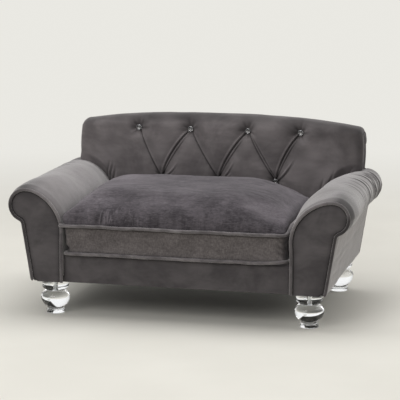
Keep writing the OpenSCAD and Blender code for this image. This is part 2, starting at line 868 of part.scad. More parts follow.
module tee_nuts() {
    color(steel) at_feet() difference() {
        union() {
            translate([0, 0, base_top]) cylinder(r = tee_flange_r, h = tee_flange_t, $fn = fine);
            translate([0, 0, base_top - tee_barrel_h])
                cylinder(r = tee_barrel_r, h = tee_barrel_h + tee_flange_t / 2, $fn = fine);
        }
        translate([0, 0, base_bottom])
            cylinder(r = bolt_r + running_gap, h = panel_t + tee_flange_t + overrun, $fn = fine);
    }
}

module frame_screws() {
    color(steel) {
        at_rail_screws(rail_front_y + rail_t / 2) screw();
        at_rail_screws(panel_front_y - rail_t / 2) screw();
        at_arm_rear_screws() screw();
        at_arm_front_screws() screw();
        at_back_screws() screw();
    }
}

// Loose cushion

// Points round a rectangle with rounded corners, with its middle at the cushion's middle
function plan_points(half_x, half_y, r, side_steps) =
    let (corners = [[1, 1], [-1, 1], [-1, -1], [1, -1]])
    [for (i = [0 : 3])
        let (
            middle = [corners[i][0] * (half_x - r), corners[i][1] * (half_y - r)],
            arc = [for (k = [0 : plan_arc_steps])
                let (angle = 90 * (i + k / plan_arc_steps)) middle + r * [cos(angle), sin(angle)]],
            next = corners[(i + 1) % 4],
            end = arc[plan_arc_steps],
            start = [next[0] * (half_x - r), next[1] * (half_y - r)]
                + r * [cos(90 * (i + 1)), sin(90 * (i + 1))]
        )
        each concat(arc, [for (k = [1 : side_steps]) end + (start - end) * k / (side_steps + 1)])
    ];

function crown_z(p) =
    cushion_crown * pow(max(0, 1 - pow(abs(p[0]) / seam_half_x, crown_flatness)), crown_power)
        * pow(max(0, 1 - pow(abs(p[1]) / seam_half_y, crown_flatness)), crown_power);

function seam_points(inset) =
    plan_points(seam_half_x - inset, seam_half_y - inset, cushion_corner_r - inset, plan_side_steps);

function plan_ring(inset, z) = [for (p = seam_points(inset)) [p[0], p[1] + cushion_middle_y, z]];

// A ring of the crown, `depth` inside the velvet, measured square to the crown's slope
function crown_ring(depth, share) =
    [for (p = share * seam_points(0))
        let (
            out = p / norm(p),
            fall = (crown_z(p) - crown_z(p + slope_step * out)) / slope_step,
            in = depth / sqrt(1 + fall * fall)
        )
        [p[0] - in * fall * out[0], p[1] - in * fall * out[1] + cushion_middle_y,
         top_seam_z + crown_z(p) - in]];

// The cushion's form, `depth` inside the velvet
function cushion_rings(depth) = concat(
    [plan_ring(bottom_inset + depth, cushion_low_z + depth), plan_ring(depth, low_welt_z)],
    [for (s = boxing_shares)
        plan_ring(boxing_pinch * s[1] + depth, low_welt_z + (top_seam_z - low_welt_z) * s[0])],
    [plan_ring(depth, top_seam_z - depth / 2)],
    [for (share = crown_shares) crown_ring(depth, share)]
);

module cushion_cover() {
    color(plush) difference() {
        skin(cushion_rings(0), fans = true);
        skin(cushion_rings(velvet_t), fans = true);
    }
}

module cushion_fill() {
    color("#f2f2ef") skin(cushion_rings(velvet_t + soft_gap), fans = true);
}

module cushion_welt(z, r) {
    path = [for (p = plan_points(welt_half_x, welt_half_y, r, 0)) [p[0], p[1] + cushion_middle_y, z]];
    color(velvet) skin(tube_rings(path, welt_r, [0, 0, 1], true), looped = true);
}

module cushion_top_piping() {
    cushion_welt(top_seam_z, cushion_corner_r + seam_inset);
}

module cushion_bottom_piping() {
    cushion_welt(low_welt_z, cushion_corner_r + seam_inset);
}

module zip_tape() {
    color(velvet) box(-zip_half, zip_half, zip_tape_y, zip_chain_y,
        zip_z - zip_tape_h / 2, zip_z + zip_tape_h / 2);
}

module zip_chain() {
    color("#222226") box(-zip_chain_half, zip_chain_half, zip_chain_y, zip_chain_y + zip_chain_t,
        zip_z - zip_chain_h / 2, zip_z + zip_chain_h / 2);
}

module zip_stops() {
    color(steel) for (x = [-zip_chain_half - zip_stop_length, zip_chain_half])
        box(x, x + zip_stop_length, zip_chain_y, zip_chain_y + zip_stop_t,
            zip_z - zip_chain_h / 2, zip_z + zip_chain_h / 2);
}

module zip_slider() {
    color(steel) difference() {
        box(zip_rest_x - zip_slider_length / 2, zip_rest_x + zip_slider_length / 2,
            zip_chain_y + soft_gap, zip_chain_y + soft_gap + zip_slider_t,
            zip_z - zip_slider_h / 2, zip_z + zip_slider_h / 2);
        box(zip_rest_x - zip_slider_length, zip_rest_x + zip_slider_length,
            zip_chain_y - overrun, zip_chain_y + zip_chain_t + soft_gap,
            zip_z - zip_chain_h / 2 - soft_gap, zip_z + zip_chain_h / 2 + soft_gap);
    }
}

base_board();
front_rail();
rear_rail();
left_side_rail();
right_side_rail();
centre_rail();
deck_board();
back_board();
left_arm_front_board();
right_arm_front_board();
left_arm_rear_board();
right_arm_rear_board();
left_arm_top_rail();
right_arm_top_rail();
left_arm_inner_sheet();
right_arm_inner_sheet();
left_arm_outer_sheet();
right_arm_outer_sheet();
left_arm_padding();
right_arm_padding();
back_padding();
back_roll_padding();
deck_padding();
front_rail_padding();
left_arm_cover();
right_arm_cover();
left_arm_facing();
right_arm_facing();
left_arm_piping();
right_arm_piping();
front_rail_cover();
deck_cover();
inner_back_cover();
left_back_gusset();
right_back_gusset();
outer_back_cover();
dust_cover();
button_crystals();
button_cups();
button_ties();
front_left_foot();
front_right_foot();
rear_left_foot();
rear_right_foot();
foot_bolts();
tee_nuts();
frame_screws();
cushion_cover();
cushion_fill();
cushion_top_piping();
cushion_bottom_piping();
zip_tape();
zip_chain();
zip_stops();
zip_slider();
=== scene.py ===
"""A small dog's sofa bed: scroll arms, a button-tufted back, a loose boxed cushion and clear turned feet.

The shapes are worked out in millimetres, X to the right, the front at -Y and Z up, and become metres
when a mesh is made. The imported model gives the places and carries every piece.
"""

import json
import math
import random

import bpy
import numpy as np
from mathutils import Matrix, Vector, noise
from mathutils.geometry import delaunay_2d_cdt


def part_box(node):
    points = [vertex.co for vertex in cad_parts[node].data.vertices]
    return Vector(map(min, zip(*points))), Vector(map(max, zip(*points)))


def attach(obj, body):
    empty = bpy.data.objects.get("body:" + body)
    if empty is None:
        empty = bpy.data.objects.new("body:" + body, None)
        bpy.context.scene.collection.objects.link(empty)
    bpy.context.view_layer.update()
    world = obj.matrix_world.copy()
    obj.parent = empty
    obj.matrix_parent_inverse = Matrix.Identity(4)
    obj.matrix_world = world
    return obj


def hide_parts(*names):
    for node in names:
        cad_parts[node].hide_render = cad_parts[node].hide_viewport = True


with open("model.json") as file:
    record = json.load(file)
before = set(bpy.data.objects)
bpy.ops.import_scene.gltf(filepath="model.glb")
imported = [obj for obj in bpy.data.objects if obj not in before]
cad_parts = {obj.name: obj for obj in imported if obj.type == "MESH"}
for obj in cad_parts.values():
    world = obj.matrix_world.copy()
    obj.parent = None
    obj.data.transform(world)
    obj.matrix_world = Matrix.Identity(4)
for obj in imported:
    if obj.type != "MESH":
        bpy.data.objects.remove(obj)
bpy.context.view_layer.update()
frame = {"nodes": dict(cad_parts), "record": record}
scene = bpy.context.scene

# Sizes of the sofa, in millimetres
INNER_X = 279.0
ARM_TOP = 315.5
SHOULDER_Z = 200.0
ROLL_X, ROLL_R = 380.5, 39.5
ROLL_Z = ARM_TOP - ROLL_R
FOOT_X, BASE_Z = 364.5, 88.0
SIDE_LEAN = math.radians(9.3)
NOTCH_R, CORNER_R = 12.0, 10.0
ARM_FRONT_Y, ARM_REAR_Y = -257.0, 238.5
CREST_Z, CREST_Y = 447.0, 238.0
UPPER_Z, LOWER_Z = 408.0, 281.0
BACK_LOW_Z = 147.9
BACK_HALF, BACK_END = 375.0, 373.5
BACK_LEAN = math.tan(math.radians(5.2))
BUTTONS = [(-215, UPPER_Z), (-152, LOWER_Z), (-76, UPPER_Z), (0, LOWER_Z), (76, UPPER_Z), (152, LOWER_Z),
           (215, UPPER_Z)]
SIDES = (("right", 1), ("left", -1))
CUSHION_LOW_Z, LOW_SEAM_Z, TOP_SEAM_Z = 157.1, 161.1, 230.1
CUSHION_Y = -47.5
SEAM_X, SEAM_Y, SEAM_CORNER = 268.2, 209.2, 16.0
CROWN = 79.0
# How far the boxing is drawn in between its seams, and the radius and the place outside the seam of its cords
BOXING_IN, CORD_R, CORD_OUT = 5.5, 4.0, 4.3
# Depth of the tufts, and how far each arm's shoulder and the fronts of the rolls differ from an even arm
TUFT_DEPTH = 16
SHOULDER_PLUMP, LEFT_IN, RIGHT_OUT = 12.0, 5.0, 3.5


def smooth(t):
    t = np.clip(t, 0, 1)
    return t * t * (3 - 2 * t)


def bump(d, width):
    return np.exp(-((d / width) ** 2))


def rough(points, scale, seed=0.0):
    """Smooth noise from -1 to 1 at each point, with features about `scale` millimetres apart."""
    return np.array([noise.noise(Vector((p[0] / scale + seed, p[1] / scale - seed, p[2] / scale)))
                     for p in points])


def rough_grid(grid, scale, seed):
    """The same noise over a grid of points, (rows, columns, 3)."""
    return rough(grid.reshape(-1, 3), scale, seed).reshape(grid.shape[:2])


def rough_flat(flat, scale, seed):
    """The same noise over points in a plane."""
    return rough(np.column_stack([flat, flat[:, :1] * 0]), scale, seed)


# Materials


class Value:
    """A socket that can be used in sums."""

    def __init__(self, finish, socket):
        self.finish, self.socket = finish, socket

    def _sum(self, operation, *others):
        return self.finish.add("ShaderNodeMath", {"operation": operation}, *others)

    def __add__(self, other):
        return self._sum("ADD", self, other)

    def __radd__(self, other):
        return self._sum("ADD", other, self)

    def __sub__(self, other):
        return self._sum("SUBTRACT", self, other)

    def __rsub__(self, other):
        return self._sum("SUBTRACT", other, self)

    def __mul__(self, other):
        return self._sum("MULTIPLY", self, other)

    def __rmul__(self, other):
        return self._sum("MULTIPLY", other, self)

    def __truediv__(self, other):
        return self._sum("DIVIDE", self, other)

    def __pow__(self, other):
        return self._sum("POWER", self, other)

    def clamped(self):
        return self.finish.add("ShaderNodeClamp", {}, self)


class Finish:
    """A material with one Principled shader, and one method for every other node."""

    def __init__(self, name, **constants):
        self.material = bpy.data.materials.new(name)
        self.material.use_nodes = True
        self.tree = self.material.node_tree
        self.shader = self.tree.nodes["Principled BSDF"]
        for label, value in constants.items():
            self.put(self.shader.inputs[label.replace("_", " ")], value)
        self.place = self.add("ShaderNodeTexCoord", {}, output="Object")

    def put(self, socket, value):
        if isinstance(value, Value):
            self.tree.links.new(value.socket, socket)
        elif hasattr(value, "__len__") and len(value) == 3 and socket.type == "RGBA":
            socket.default_value = (*value, 1)
        else:
            socket.default_value = value

    def add(self, kind, settings, *values, output=0, **named):
        node = self.tree.nodes.new(kind)
        for name, setting in settings.items():
            if name == "stops":
                ramp = node.color_ramp.elements
                while len(ramp) < len(setting):
                    ramp.new(0.5)
                for element, (at, colour) in zip(ramp, setting):
                    element.position, element.color = at, (*colour, 1) if len(colour) == 3 else colour
            else:
                setattr(node, name, setting)
        for socket, value in zip(node.inputs, values):
            self.put(socket, value)
        for label, value in named.items():
            self.put(node.inputs[label.replace("_", " ")], value)
        return Value(self, node.outputs[output])

    def axis(self, name):
        node = self.add("ShaderNodeSeparateXYZ", {}, self.place)
        return Value(self, node.socket.node.outputs[name])

    def stretched(self, x, y, z):
        """The place on the piece with each axis multiplied, for longer or shorter features."""
        return self.add("ShaderNodeMapping", {}, self.place, Scale=(x, y, z))

    def noise(self, scale, detail=2.0, roughness=0.5, at=None, distortion=0.0):
        return self.add("ShaderNodeTexNoise", {}, Vector=at or self.place, Scale=scale, Detail=detail,
                        Roughness=roughness, Distortion=distortion)

    def between(self, value, low, high, to_low=0.0, to_high=1.0):
        return self.add("ShaderNodeMapRange", {"interpolation_type": "SMOOTHSTEP"}, value, low, high, to_low,
                        to_high)

    def mix(self, share, first, second):
        node = self.add("ShaderNodeMix", {"data_type": "RGBA"}).socket.node
        self.put(node.inputs[0], share)
        self.put(node.inputs[6], first)
        self.put(node.inputs[7], second)
        return Value(self, node.outputs[2])

    def bump(self, height, distance, strength=1.0, normal=None):
        named = {"Normal": normal} if normal else {}
        return self.add("ShaderNodeBump", {}, Strength=strength, Distance=distance, Height=height, **named)

    def finish(self, **links):
        for label, value in links.items():
            self.put(self.shader.inputs[label.replace("_", " ")], value)
        return self.material


def pile(name, dark, light, sheen, patch=9.0, streaks=None, seed=0.0, lumps=0.0006, band=None):
    """Velvet or plush: short upright fibres, brushed patches that lean another way, and a sheen at the edges.
    A piece's tone attribute is mostly painted light and shade: it darkens creases, seams and hollows, and
    makes parts lighter or darker where less or more light falls on them."""
    cloth = Finish(name, Roughness=0.9, Sheen_Weight=sheen[0], Sheen_Roughness=sheen[1], Sheen_Tint=sheen[2],
                   Specular_IOR_Level=0.15)
    place = cloth.add("ShaderNodeMapping", {}, cloth.place, (seed, seed * 0.7, -seed))
    patches = cloth.between(cloth.noise(patch, 4.0, 0.62, at=place, distortion=0.6), 0.34, 0.68)
    fibres = cloth.noise(900.0, 1.0, at=place)
    brushed = cloth.between(cloth.noise(60.0, 3.0, 0.6, at=cloth.stretched(0.35, 1.0, 1.0)), 0.3, 0.75)
    share = patches * 0.62 + brushed * 0.22 + fibres * 0.16
    if streaks:
        share = share + streaks(cloth)
    colour = cloth.mix(share.clamped(), dark, light)
    if band:
        colour = band(cloth, colour, share.clamped())
    # Painted light and shade: the tone attribute scales the colour, besides some tone that differs at random.
    tone = cloth.add("ShaderNodeAttribute", {"attribute_name": "tone"}, output="Fac")
    colour = cloth.add("ShaderNodeVectorMath", {"operation": "SCALE"}, colour, Scale=(1 + tone))
    fine = cloth.bump(fibres, 0.0004, 0.35)
    height = cloth.noise(38.0, 3.0, 0.55, at=place)
    return cloth.finish(Base_Color=colour, Roughness=0.82 + 0.14 * fibres,
                        Normal=cloth.bump(height, lumps, 0.6, normal=fine))


def nap_streaks(cloth):
    """Upright strokes left in the plush near the front of the cushion, stronger on the left."""
    x, y, z = (cloth.axis(name) for name in "XYZ")
    brushed = cloth.noise(1.0, 2.0, 0.6, at=cloth.stretched(170.0, 30.0, 30.0), distortion=0.9)
    strokes = cloth.between(brushed, 0.5, 0.7)
    near_front = cloth.between(y, -0.235, -0.2, 1.0, 0.0)
    here = cloth.between(x, -0.235, -0.2) * cloth.between(x, -0.135, -0.06, 1.0, 0.25)
    height = cloth.between(z, 0.232, 0.24) * cloth.between(z, 0.25, 0.285, 1.0, 0.0)
    return strokes * near_front * here * height * 1.1


def wood(name, pale, dark, along, rings=26.0, gloss=0.55):
    """Sawn wood with its grain along one axis."""
    stretch = [rings] * 3
    stretch[along] = 1.6
    timber = Finish(name, Specular_IOR_Level=0.35)
    at = timber.stretched(*stretch)
    grain = timber.noise(1.0, 5.0, 0.62, at=at, distortion=1.4)
    pores = timber.noise(9.0, 2.0, 0.7, at=at)
    share = timber.between(grain, 0.32, 0.68) * 0.75 + timber.between(pores, 0.55, 0.8) * 0.3
    return timber.finish(Base_Color=timber.mix(share.clamped(), pale, dark), Roughness=gloss + 0.2 * grain,
                         Normal=timber.bump(pores, 0.0002, 0.4))


def plywood(name, pale, dark):
    """Plywood: calm face grain, and glue lines that show as bands on the cut edges."""
    board = Finish(name, Specular_IOR_Level=0.3)
    grain = board.noise(1.0, 4.0, 0.6, at=board.stretched(4.0, 30.0, 30.0), distortion=0.8)
    bands = board.add("ShaderNodeTexWave", {"bands_direction": "Z"}, Vector=board.place, Scale=105.0,
                      Distortion=0.4)
    share = board.between(grain, 0.3, 0.7) * 0.55 + bands * 0.2
    return board.finish(Base_Color=board.mix(share.clamped(), pale, dark), Roughness=0.6 + 0.2 * grain,
                        Normal=board.bump(grain, 0.0002, 0.3))


def plain_cloth(name, dark, light, threads=1400.0, rough_at=0.9):
    """Thin woven cloth, with its threads as crossed fine waves."""
    cloth = Finish(name, Specular_IOR_Level=0.2)
    waves = threads / 6.2832
    across = cloth.add("ShaderNodeTexWave", {"bands_direction": "X"}, Vector=cloth.place, Scale=waves)
    along = cloth.add("ShaderNodeTexWave", {"bands_direction": "Y"}, Vector=cloth.place, Scale=waves)
    weave = across * 0.5 + along * 0.5
    worn = cloth.noise(14.0, 3.0, 0.6)
    share = weave * 0.5 + cloth.between(worn, 0.35, 0.7) * 0.5
    return cloth.finish(Base_Color=cloth.mix(share, dark, light), Roughness=rough_at - 0.1 * weave,
                        Normal=cloth.bump(weave, 0.0002, 0.4))


def metal(name, colour, roughness, marks=260.0):
    """Plated metal with fine drawing marks and a few dull spots."""
    plate = Finish(name, Metallic=1.0)
    fine = plate.noise(marks, 3.0, 0.6, at=plate.stretched(1.0, 1.0, 0.15))
    dull = plate.between(plate.noise(30.0, 3.0, 0.6), 0.45, 0.75)
    worn = tuple(c * 0.72 for c in colour)
    return plate.finish(Base_Color=plate.mix(dull * 0.5, colour, worn),
                        Roughness=roughness + 0.12 * dull + 0.06 * fine,
                        Normal=plate.bump(fine, 0.0001, 0.25))


def clear(name, tint, ior, haze, seed=0.0):
    """Cast acrylic or cut crystal: clear, with a breath of unevenness in its polish."""
    glass = Finish(name, Transmission_Weight=1.0, IOR=ior, Specular_IOR_Level=0.5)
    fog = glass.between(glass.noise(55.0 + seed, 3.0, 0.6), 0.45, 0.8)
    return glass.finish(Base_Color=glass.mix(fog, tint, tuple(c * 0.97 for c in tint)),
                        Roughness=haze + 0.03 * fog, Normal=glass.bump(fog, 0.0001, 0.1))


def nap_ripples(cloth):
    """Level ripples over the long pile of the plush."""
    ripples = cloth.noise(1.0, 3.0, 0.65, at=cloth.stretched(48.0, 130.0, 130.0), distortion=1.0)
    fine = cloth.noise(1.0, 2.0, 0.6, at=cloth.stretched(130.0, 380.0, 380.0), distortion=0.8)
    return cloth.between(ripples, 0.35, 0.7) * 0.4 + cloth.between(fine, 0.35, 0.68) * 0.36 - 0.34


def boxing_band(cloth, colour, share):
    """The cushion's boxing, whose shorter pile is a warmer grey."""
    z = cloth.axis("Z")
    here = cloth.between(z, 0.163, 0.167) * cloth.between(z, 0.2235, 0.2275, 1.0, 0.0)
    speckle = cloth.noise(1.0, 2.0, 0.6, at=cloth.stretched(420.0, 420.0, 160.0))
    share = (share * 0.6 + cloth.between(speckle, 0.36, 0.66) * 0.4).clamped()
    return cloth.mix(here * 0.9, colour, cloth.mix(share, (0.066, 0.058, 0.057), (0.158, 0.142, 0.138)))


VELVET = pile("charcoal velvet", (0.044, 0.040, 0.042), (0.094, 0.086, 0.088),
              (0.8, 0.38, (0.90, 0.87, 0.87)))
# A lighter copy of the velvet, with less sheen, for the tufted back: painted light.
PAINTED_LIGHT_BACK_VELVET = pile("charcoal back velvet, lighter for painted light", (0.084, 0.075, 0.077), (0.184, 0.167, 0.169),
                   (0.3, 0.45, (0.90, 0.87, 0.87)), patch=8.0, seed=2.3)
# A darker copy of the velvet, with little sheen, for the back's sides: painted shade.
PAINTED_SHADE_SIDE_VELVET = pile("charcoal velvet in painted shade for the back's sides", (0.040, 0.036, 0.038), (0.080, 0.073, 0.075),
                   (0.15, 0.45, (0.90, 0.87, 0.87)), seed=6.1)
# A lighter copy of the velvet, with strong sheen, for the arms' wraps: painted light.
PAINTED_LIGHT_ARM_VELVET = pile("charcoal arm velvet, lighter for painted light", (0.115, 0.106, 0.108), (0.185, 0.173, 0.174),
                  (0.9, 0.4, (0.92, 0.90, 0.90)), patch=6.0, seed=4.9)
PIPING = pile("piping velvet", (0.085, 0.077, 0.080), (0.165, 0.152, 0.155), (0.9, 0.4, (0.92, 0.89, 0.88)),
              patch=22.0, seed=3.1, lumps=0.0003)
PLUSH = pile("cushion plush", (0.044, 0.039, 0.044), (0.122, 0.109, 0.120), (0.2, 0.45, (0.90, 0.86, 0.90)),
             patch=7.0, streaks=lambda cloth: nap_streaks(cloth) + nap_ripples(cloth), seed=1.7, lumps=0.0009,
             band=boxing_band)
FINISHES = {
    "plywood": plywood("birch plywood", (0.62, 0.45, 0.27), (0.40, 0.26, 0.14)),
    "pine": wood("sawn pine", (0.70, 0.52, 0.31), (0.50, 0.32, 0.15), along=0),
    "hardboard": plain_cloth("brown hardboard", (0.13, 0.078, 0.042), (0.21, 0.135, 0.078), 300.0, 0.75),
    "foam": plain_cloth("upholstery foam", (0.70, 0.62, 0.38), (0.82, 0.76, 0.55), 900.0, 0.95),
    "velvet": VELVET,
    "back velvet, lighter for painted light": PAINTED_LIGHT_BACK_VELVET,
    "arm velvet, lighter for painted light": PAINTED_LIGHT_ARM_VELVET,
    "side velvet, darker for painted shade": PAINTED_SHADE_SIDE_VELVET,
    "piping_velvet": PIPING,
    "plush": PLUSH,
    "fibre": plain_cloth("fibre filling", (0.78, 0.78, 0.76), (0.88, 0.88, 0.86), 500.0, 0.95),
    "lining": plain_cloth("black lining", (0.010, 0.010, 0.011), (0.028, 0.028, 0.030)),
    "crystal": clear("cut crystal", (0.66, 0.65, 0.64), 1.6, 0.0, 7.0),
    "acrylic": clear("clear acrylic", (0.96, 0.97, 0.97), 1.49, 0.015),
    "bright_metal": metal("bright setting", (0.36, 0.36, 0.37), 0.2),
    "zinc_steel": metal("zinc plated steel", (0.66, 0.67, 0.68), 0.32),
    "twine": plain_cloth("waxed twine", (0.62, 0.58, 0.48), (0.78, 0.74, 0.64), 2500.0, 0.8),
    "zip_plastic": plain_cloth("zip coil", (0.012, 0.012, 0.014), (0.035, 0.034, 0.036), 1800.0, 0.6),
    "zip_metal": metal("zip slider metal", (0.36, 0.36, 0.38), 0.35),
}


# Meshes


def placed(name, data):
    """A new object in the scene."""
    piece = bpy.data.objects.new(name, data)
    scene.collection.objects.link(piece)
    return piece


def mesh_of(name, points, edges, faces):
    """A mesh from points in millimetres."""
    mesh = bpy.data.meshes.new(name)
    mesh.from_pydata([tuple(p) for p in np.asarray(points, float) / 1000], edges, faces)
    return mesh


def make(name, points, faces, body, slot, replaced=(), smooth_shaded=True):
    """A closed piece from points in millimetres. It rides on a body and takes the finish of a slot."""
    mesh = mesh_of(name, points, [], outward(points, faces))
    mesh.validate()
    if smooth_shaded:
        mesh.shade_smooth()
    return fitted(placed(name, mesh), body, slot, replaced)


def fitted(piece, body, slot, replaced=()):
    piece.data.materials.clear()
    piece.data.materials.append(FINISHES[slot])
    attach(piece, body)
    if replaced:
        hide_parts(*replaced)
    return piece


def toned(piece, tone):
    """Give a piece's points their tone, mostly painted light and shade: the share that its finish is lighter
    by, or darker below 0.
    """
    values = np.zeros(len(piece.data.vertices))
    values[:len(tone)] = np.clip(tone, -0.85, 0.8)
    mark = piece.data.attributes.new("tone", "FLOAT", "POINT")
    mark.data.foreach_set("value", values)
    return piece


def places(piece):
    """The points of a piece, in millimetres."""
    flat = np.zeros(len(piece.data.vertices) * 3)
    piece.data.vertices.foreach_get("co", flat)
    return flat.reshape(-1, 3) * 1000


def grid_of(x, y, z):
    """A grid of points, (rows, columns, 3), from what each coordinate is along the rows, columns or both."""
    return np.stack(np.broadcast_arrays(x, y, z), axis=2)


def grid_faces(rows, columns, first=0, looped=False):
    """Quads over a grid of points stored row by row."""
    last = columns if looped else columns - 1
    return [(first + r * columns + c, first + r * columns + (c + 1) % columns,
             first + (r + 1) * columns + (c + 1) % columns, first + (r + 1) * columns + c)
            for r in range(rows - 1) for c in range(last)]


def rim(rows, columns, first=0):
    """The points round a grid's edge."""
    line = ([(0, c) for c in range(columns)] + [(r, columns - 1) for r in range(1, rows)]
            + [(rows - 1, c) for c in range(columns - 2, -1, -1)] + [(r, 0) for r in range(rows - 2, 0, -1)])
    return [first + r * columns + c for r, c in line]


def slab(front, rear):
    """Points and faces of a closed slab between two grids, (rows, columns, 3).
    The rear one may be coarser by a whole number of steps."""
    (rows, columns), (few, narrow) = front.shape[:2], rear.shape[:2]
    step = (rows - 1) // (few - 1)
    count = rows * columns
    faces = grid_faces(rows, columns) + [tuple(reversed(f)) for f in grid_faces(few, narrow, count)]
    near, far = rim(rows, columns), rim(few, narrow, count)
    for i, at in enumerate(far):
        run = [near[(i * step + k) % len(near)] for k in range(step, -1, -1)]
        faces.append((*run, at, far[(i + 1) % len(far)]))
    return np.concatenate([front.reshape(-1, 3), rear.reshape(-1, 3)]), faces


def turned(rings, sides, at, first=0, cut=False):
    """Points and faces of a turned form. A ring is its radius, its place along the axis, and the share of a
    step that it is turned by. at(radius, angle, place) gives a point. A cut form's bands are triangles."""
    points, faces, loops = [], [], []
    for r, along, turn in rings:
        steps = range(sides if r else 1)
        loops.append([first + len(points) + k for k in steps])
        points += [at(r, math.tau * (k + turn) / sides, along) for k in steps]
    for a, b in zip(loops, loops[1:]):
        for k in range(sides):
            n = (k + 1) % sides
            if cut and len(a) > 1 and len(b) > 1:
                faces += [(a[k], a[n], b[k]), (a[n], b[n], b[k])]
            else:
                corners = a[k % len(a)], a[n % len(a)], b[n % len(b)], b[k % len(b)]
                faces.append(tuple(dict.fromkeys(corners)))
    return points, faces


def outward(points, faces):
    """The faces, turned round if the closed shape they make is inside out."""
    p = np.asarray(points, float)
    volume = sum(np.dot(p[f[0]], np.cross(p[f[i]], p[f[i + 1]])) for f in faces for i in range(1, len(f) - 1))
    return faces if volume > 0 else [tuple(reversed(f)) for f in faces]


def travelled(line):
    """The distance along a line of points, up to each of them."""
    return np.concatenate([[0], np.cumsum(np.linalg.norm(np.diff(line, axis=0), axis=1))])


def evenly(line, step):
    """Points at even steps along a line of points, both ends kept."""
    line = np.asarray(line, float)
    gone = travelled(line)
    at = np.linspace(0, gone[-1], max(2, int(round(gone[-1] / step)) + 1))
    return np.stack([np.interp(at, gone, line[:, k]) for k in range(line.shape[1])], axis=1)


def left_normals(line):
    along = np.gradient(line, axis=0)
    along /= np.linalg.norm(along, axis=1)[:, None]
    return np.stack([-along[:, 1], along[:, 0]], axis=1)


def distance_to_line(points, line, closed=False):
    """Distance of 2D points from a line of 2D points."""
    ends = np.roll(line, -1, axis=0) if closed else line[1:]
    starts = line if closed else line[:-1]
    best = np.full(len(points), 1e9)
    for a, b in zip(starts, ends):
        run = b - a
        share = np.clip(((points - a) @ run) / max(run @ run, 1e-9), 0, 1)
        best = np.minimum(best, np.linalg.norm(points - a - share[:, None] * run, axis=1))
    return best


def panel(outline, step, height):
    """A closed slab over a flat outline, in the outline's plane. height(points, edge distance) gives the two
    faces' heights, the outer one first."""
    outline = evenly(np.vstack([outline, outline[:1]]), step)[:-1]
    low, high = outline.min(0), outline.max(0)
    inside = []
    for i, v in enumerate(np.arange(low[1] + step / 2, high[1], step * 0.87)):
        for u in np.arange(low[0] + step / 2 + (i % 2) * step / 2, high[0], step):
            inside.append((u, v))
    inside = np.array(inside)
    inside = inside[distance_to_line(inside, outline, True) > step * 0.55]
    count = len(outline)
    points = np.vstack([outline, inside])
    edges = [(i, (i + 1) % count) for i in range(count)]
    found, _, faces, *_ = delaunay_2d_cdt([Vector(p) for p in points], edges, [], 1, 1e-6)
    flat = np.array([tuple(p) for p in found])
    edge = distance_to_line(flat, outline, True)
    outer, inner = height(flat, edge)
    total = len(flat)
    ring = list(range(count))
    all_faces = [tuple(f) for f in faces] + [tuple(total + i for i in reversed(f)) for f in faces]
    all_faces += [(b, a, a + total, b + total) for a, b in zip(ring, ring[1:] + ring[:1])]
    solid = np.concatenate([np.column_stack([flat, outer]), np.column_stack([flat, inner])])
    return solid, all_faces


# Arms


def arm_line(step=2.0):
    """The right arm's velvet line, [x, z], from the seat over the roll to the outer side's lower edge."""
    side_up = np.array([math.sin(SIDE_LEAN), math.cos(SIDE_LEAN)])
    side_out = np.array([math.cos(SIDE_LEAN), -math.sin(SIDE_LEAN)])
    roll = np.array([ROLL_X, ROLL_Z])
    start = np.array([FOOT_X, BASE_Z]) + NOTCH_R * side_out - roll
    along = start @ side_up
    run = -along - math.sqrt(along * along - start @ start + (ROLL_R + NOTCH_R) ** 2)
    notch = roll + start + run * side_up
    notch_angle = math.atan2(notch[1] - ROLL_Z, notch[0] - ROLL_X)
    shoulder = [(ROLL_X - (ROLL_X - INNER_X) * math.cos(t), SHOULDER_Z + (ARM_TOP - SHOULDER_Z) * math.sin(t))
                for t in np.linspace(0, math.pi / 2, 60)]
    over = [roll + ROLL_R * np.array([math.cos(t), math.sin(t)])
            for t in np.linspace(math.pi / 2, notch_angle, 70)[1:]]
    hollow = [notch + NOTCH_R * np.array([math.cos(t), math.sin(t)])
              for t in np.linspace(notch_angle + math.pi, math.pi - SIDE_LEAN, 12)[1:]]
    corner_x = FOOT_X + CORNER_R * math.tan(SIDE_LEAN) - CORNER_R / math.cos(SIDE_LEAN)
    corner_at = np.array([corner_x, BASE_Z + CORNER_R])
    corner = [corner_at + CORNER_R * np.array([math.cos(t), math.sin(t)])
              for t in np.linspace(-SIDE_LEAN, -math.pi / 2, 10)]
    return evenly([(INNER_X, BASE_Z)] + shoulder + list(over) + list(hollow) + corner, step)


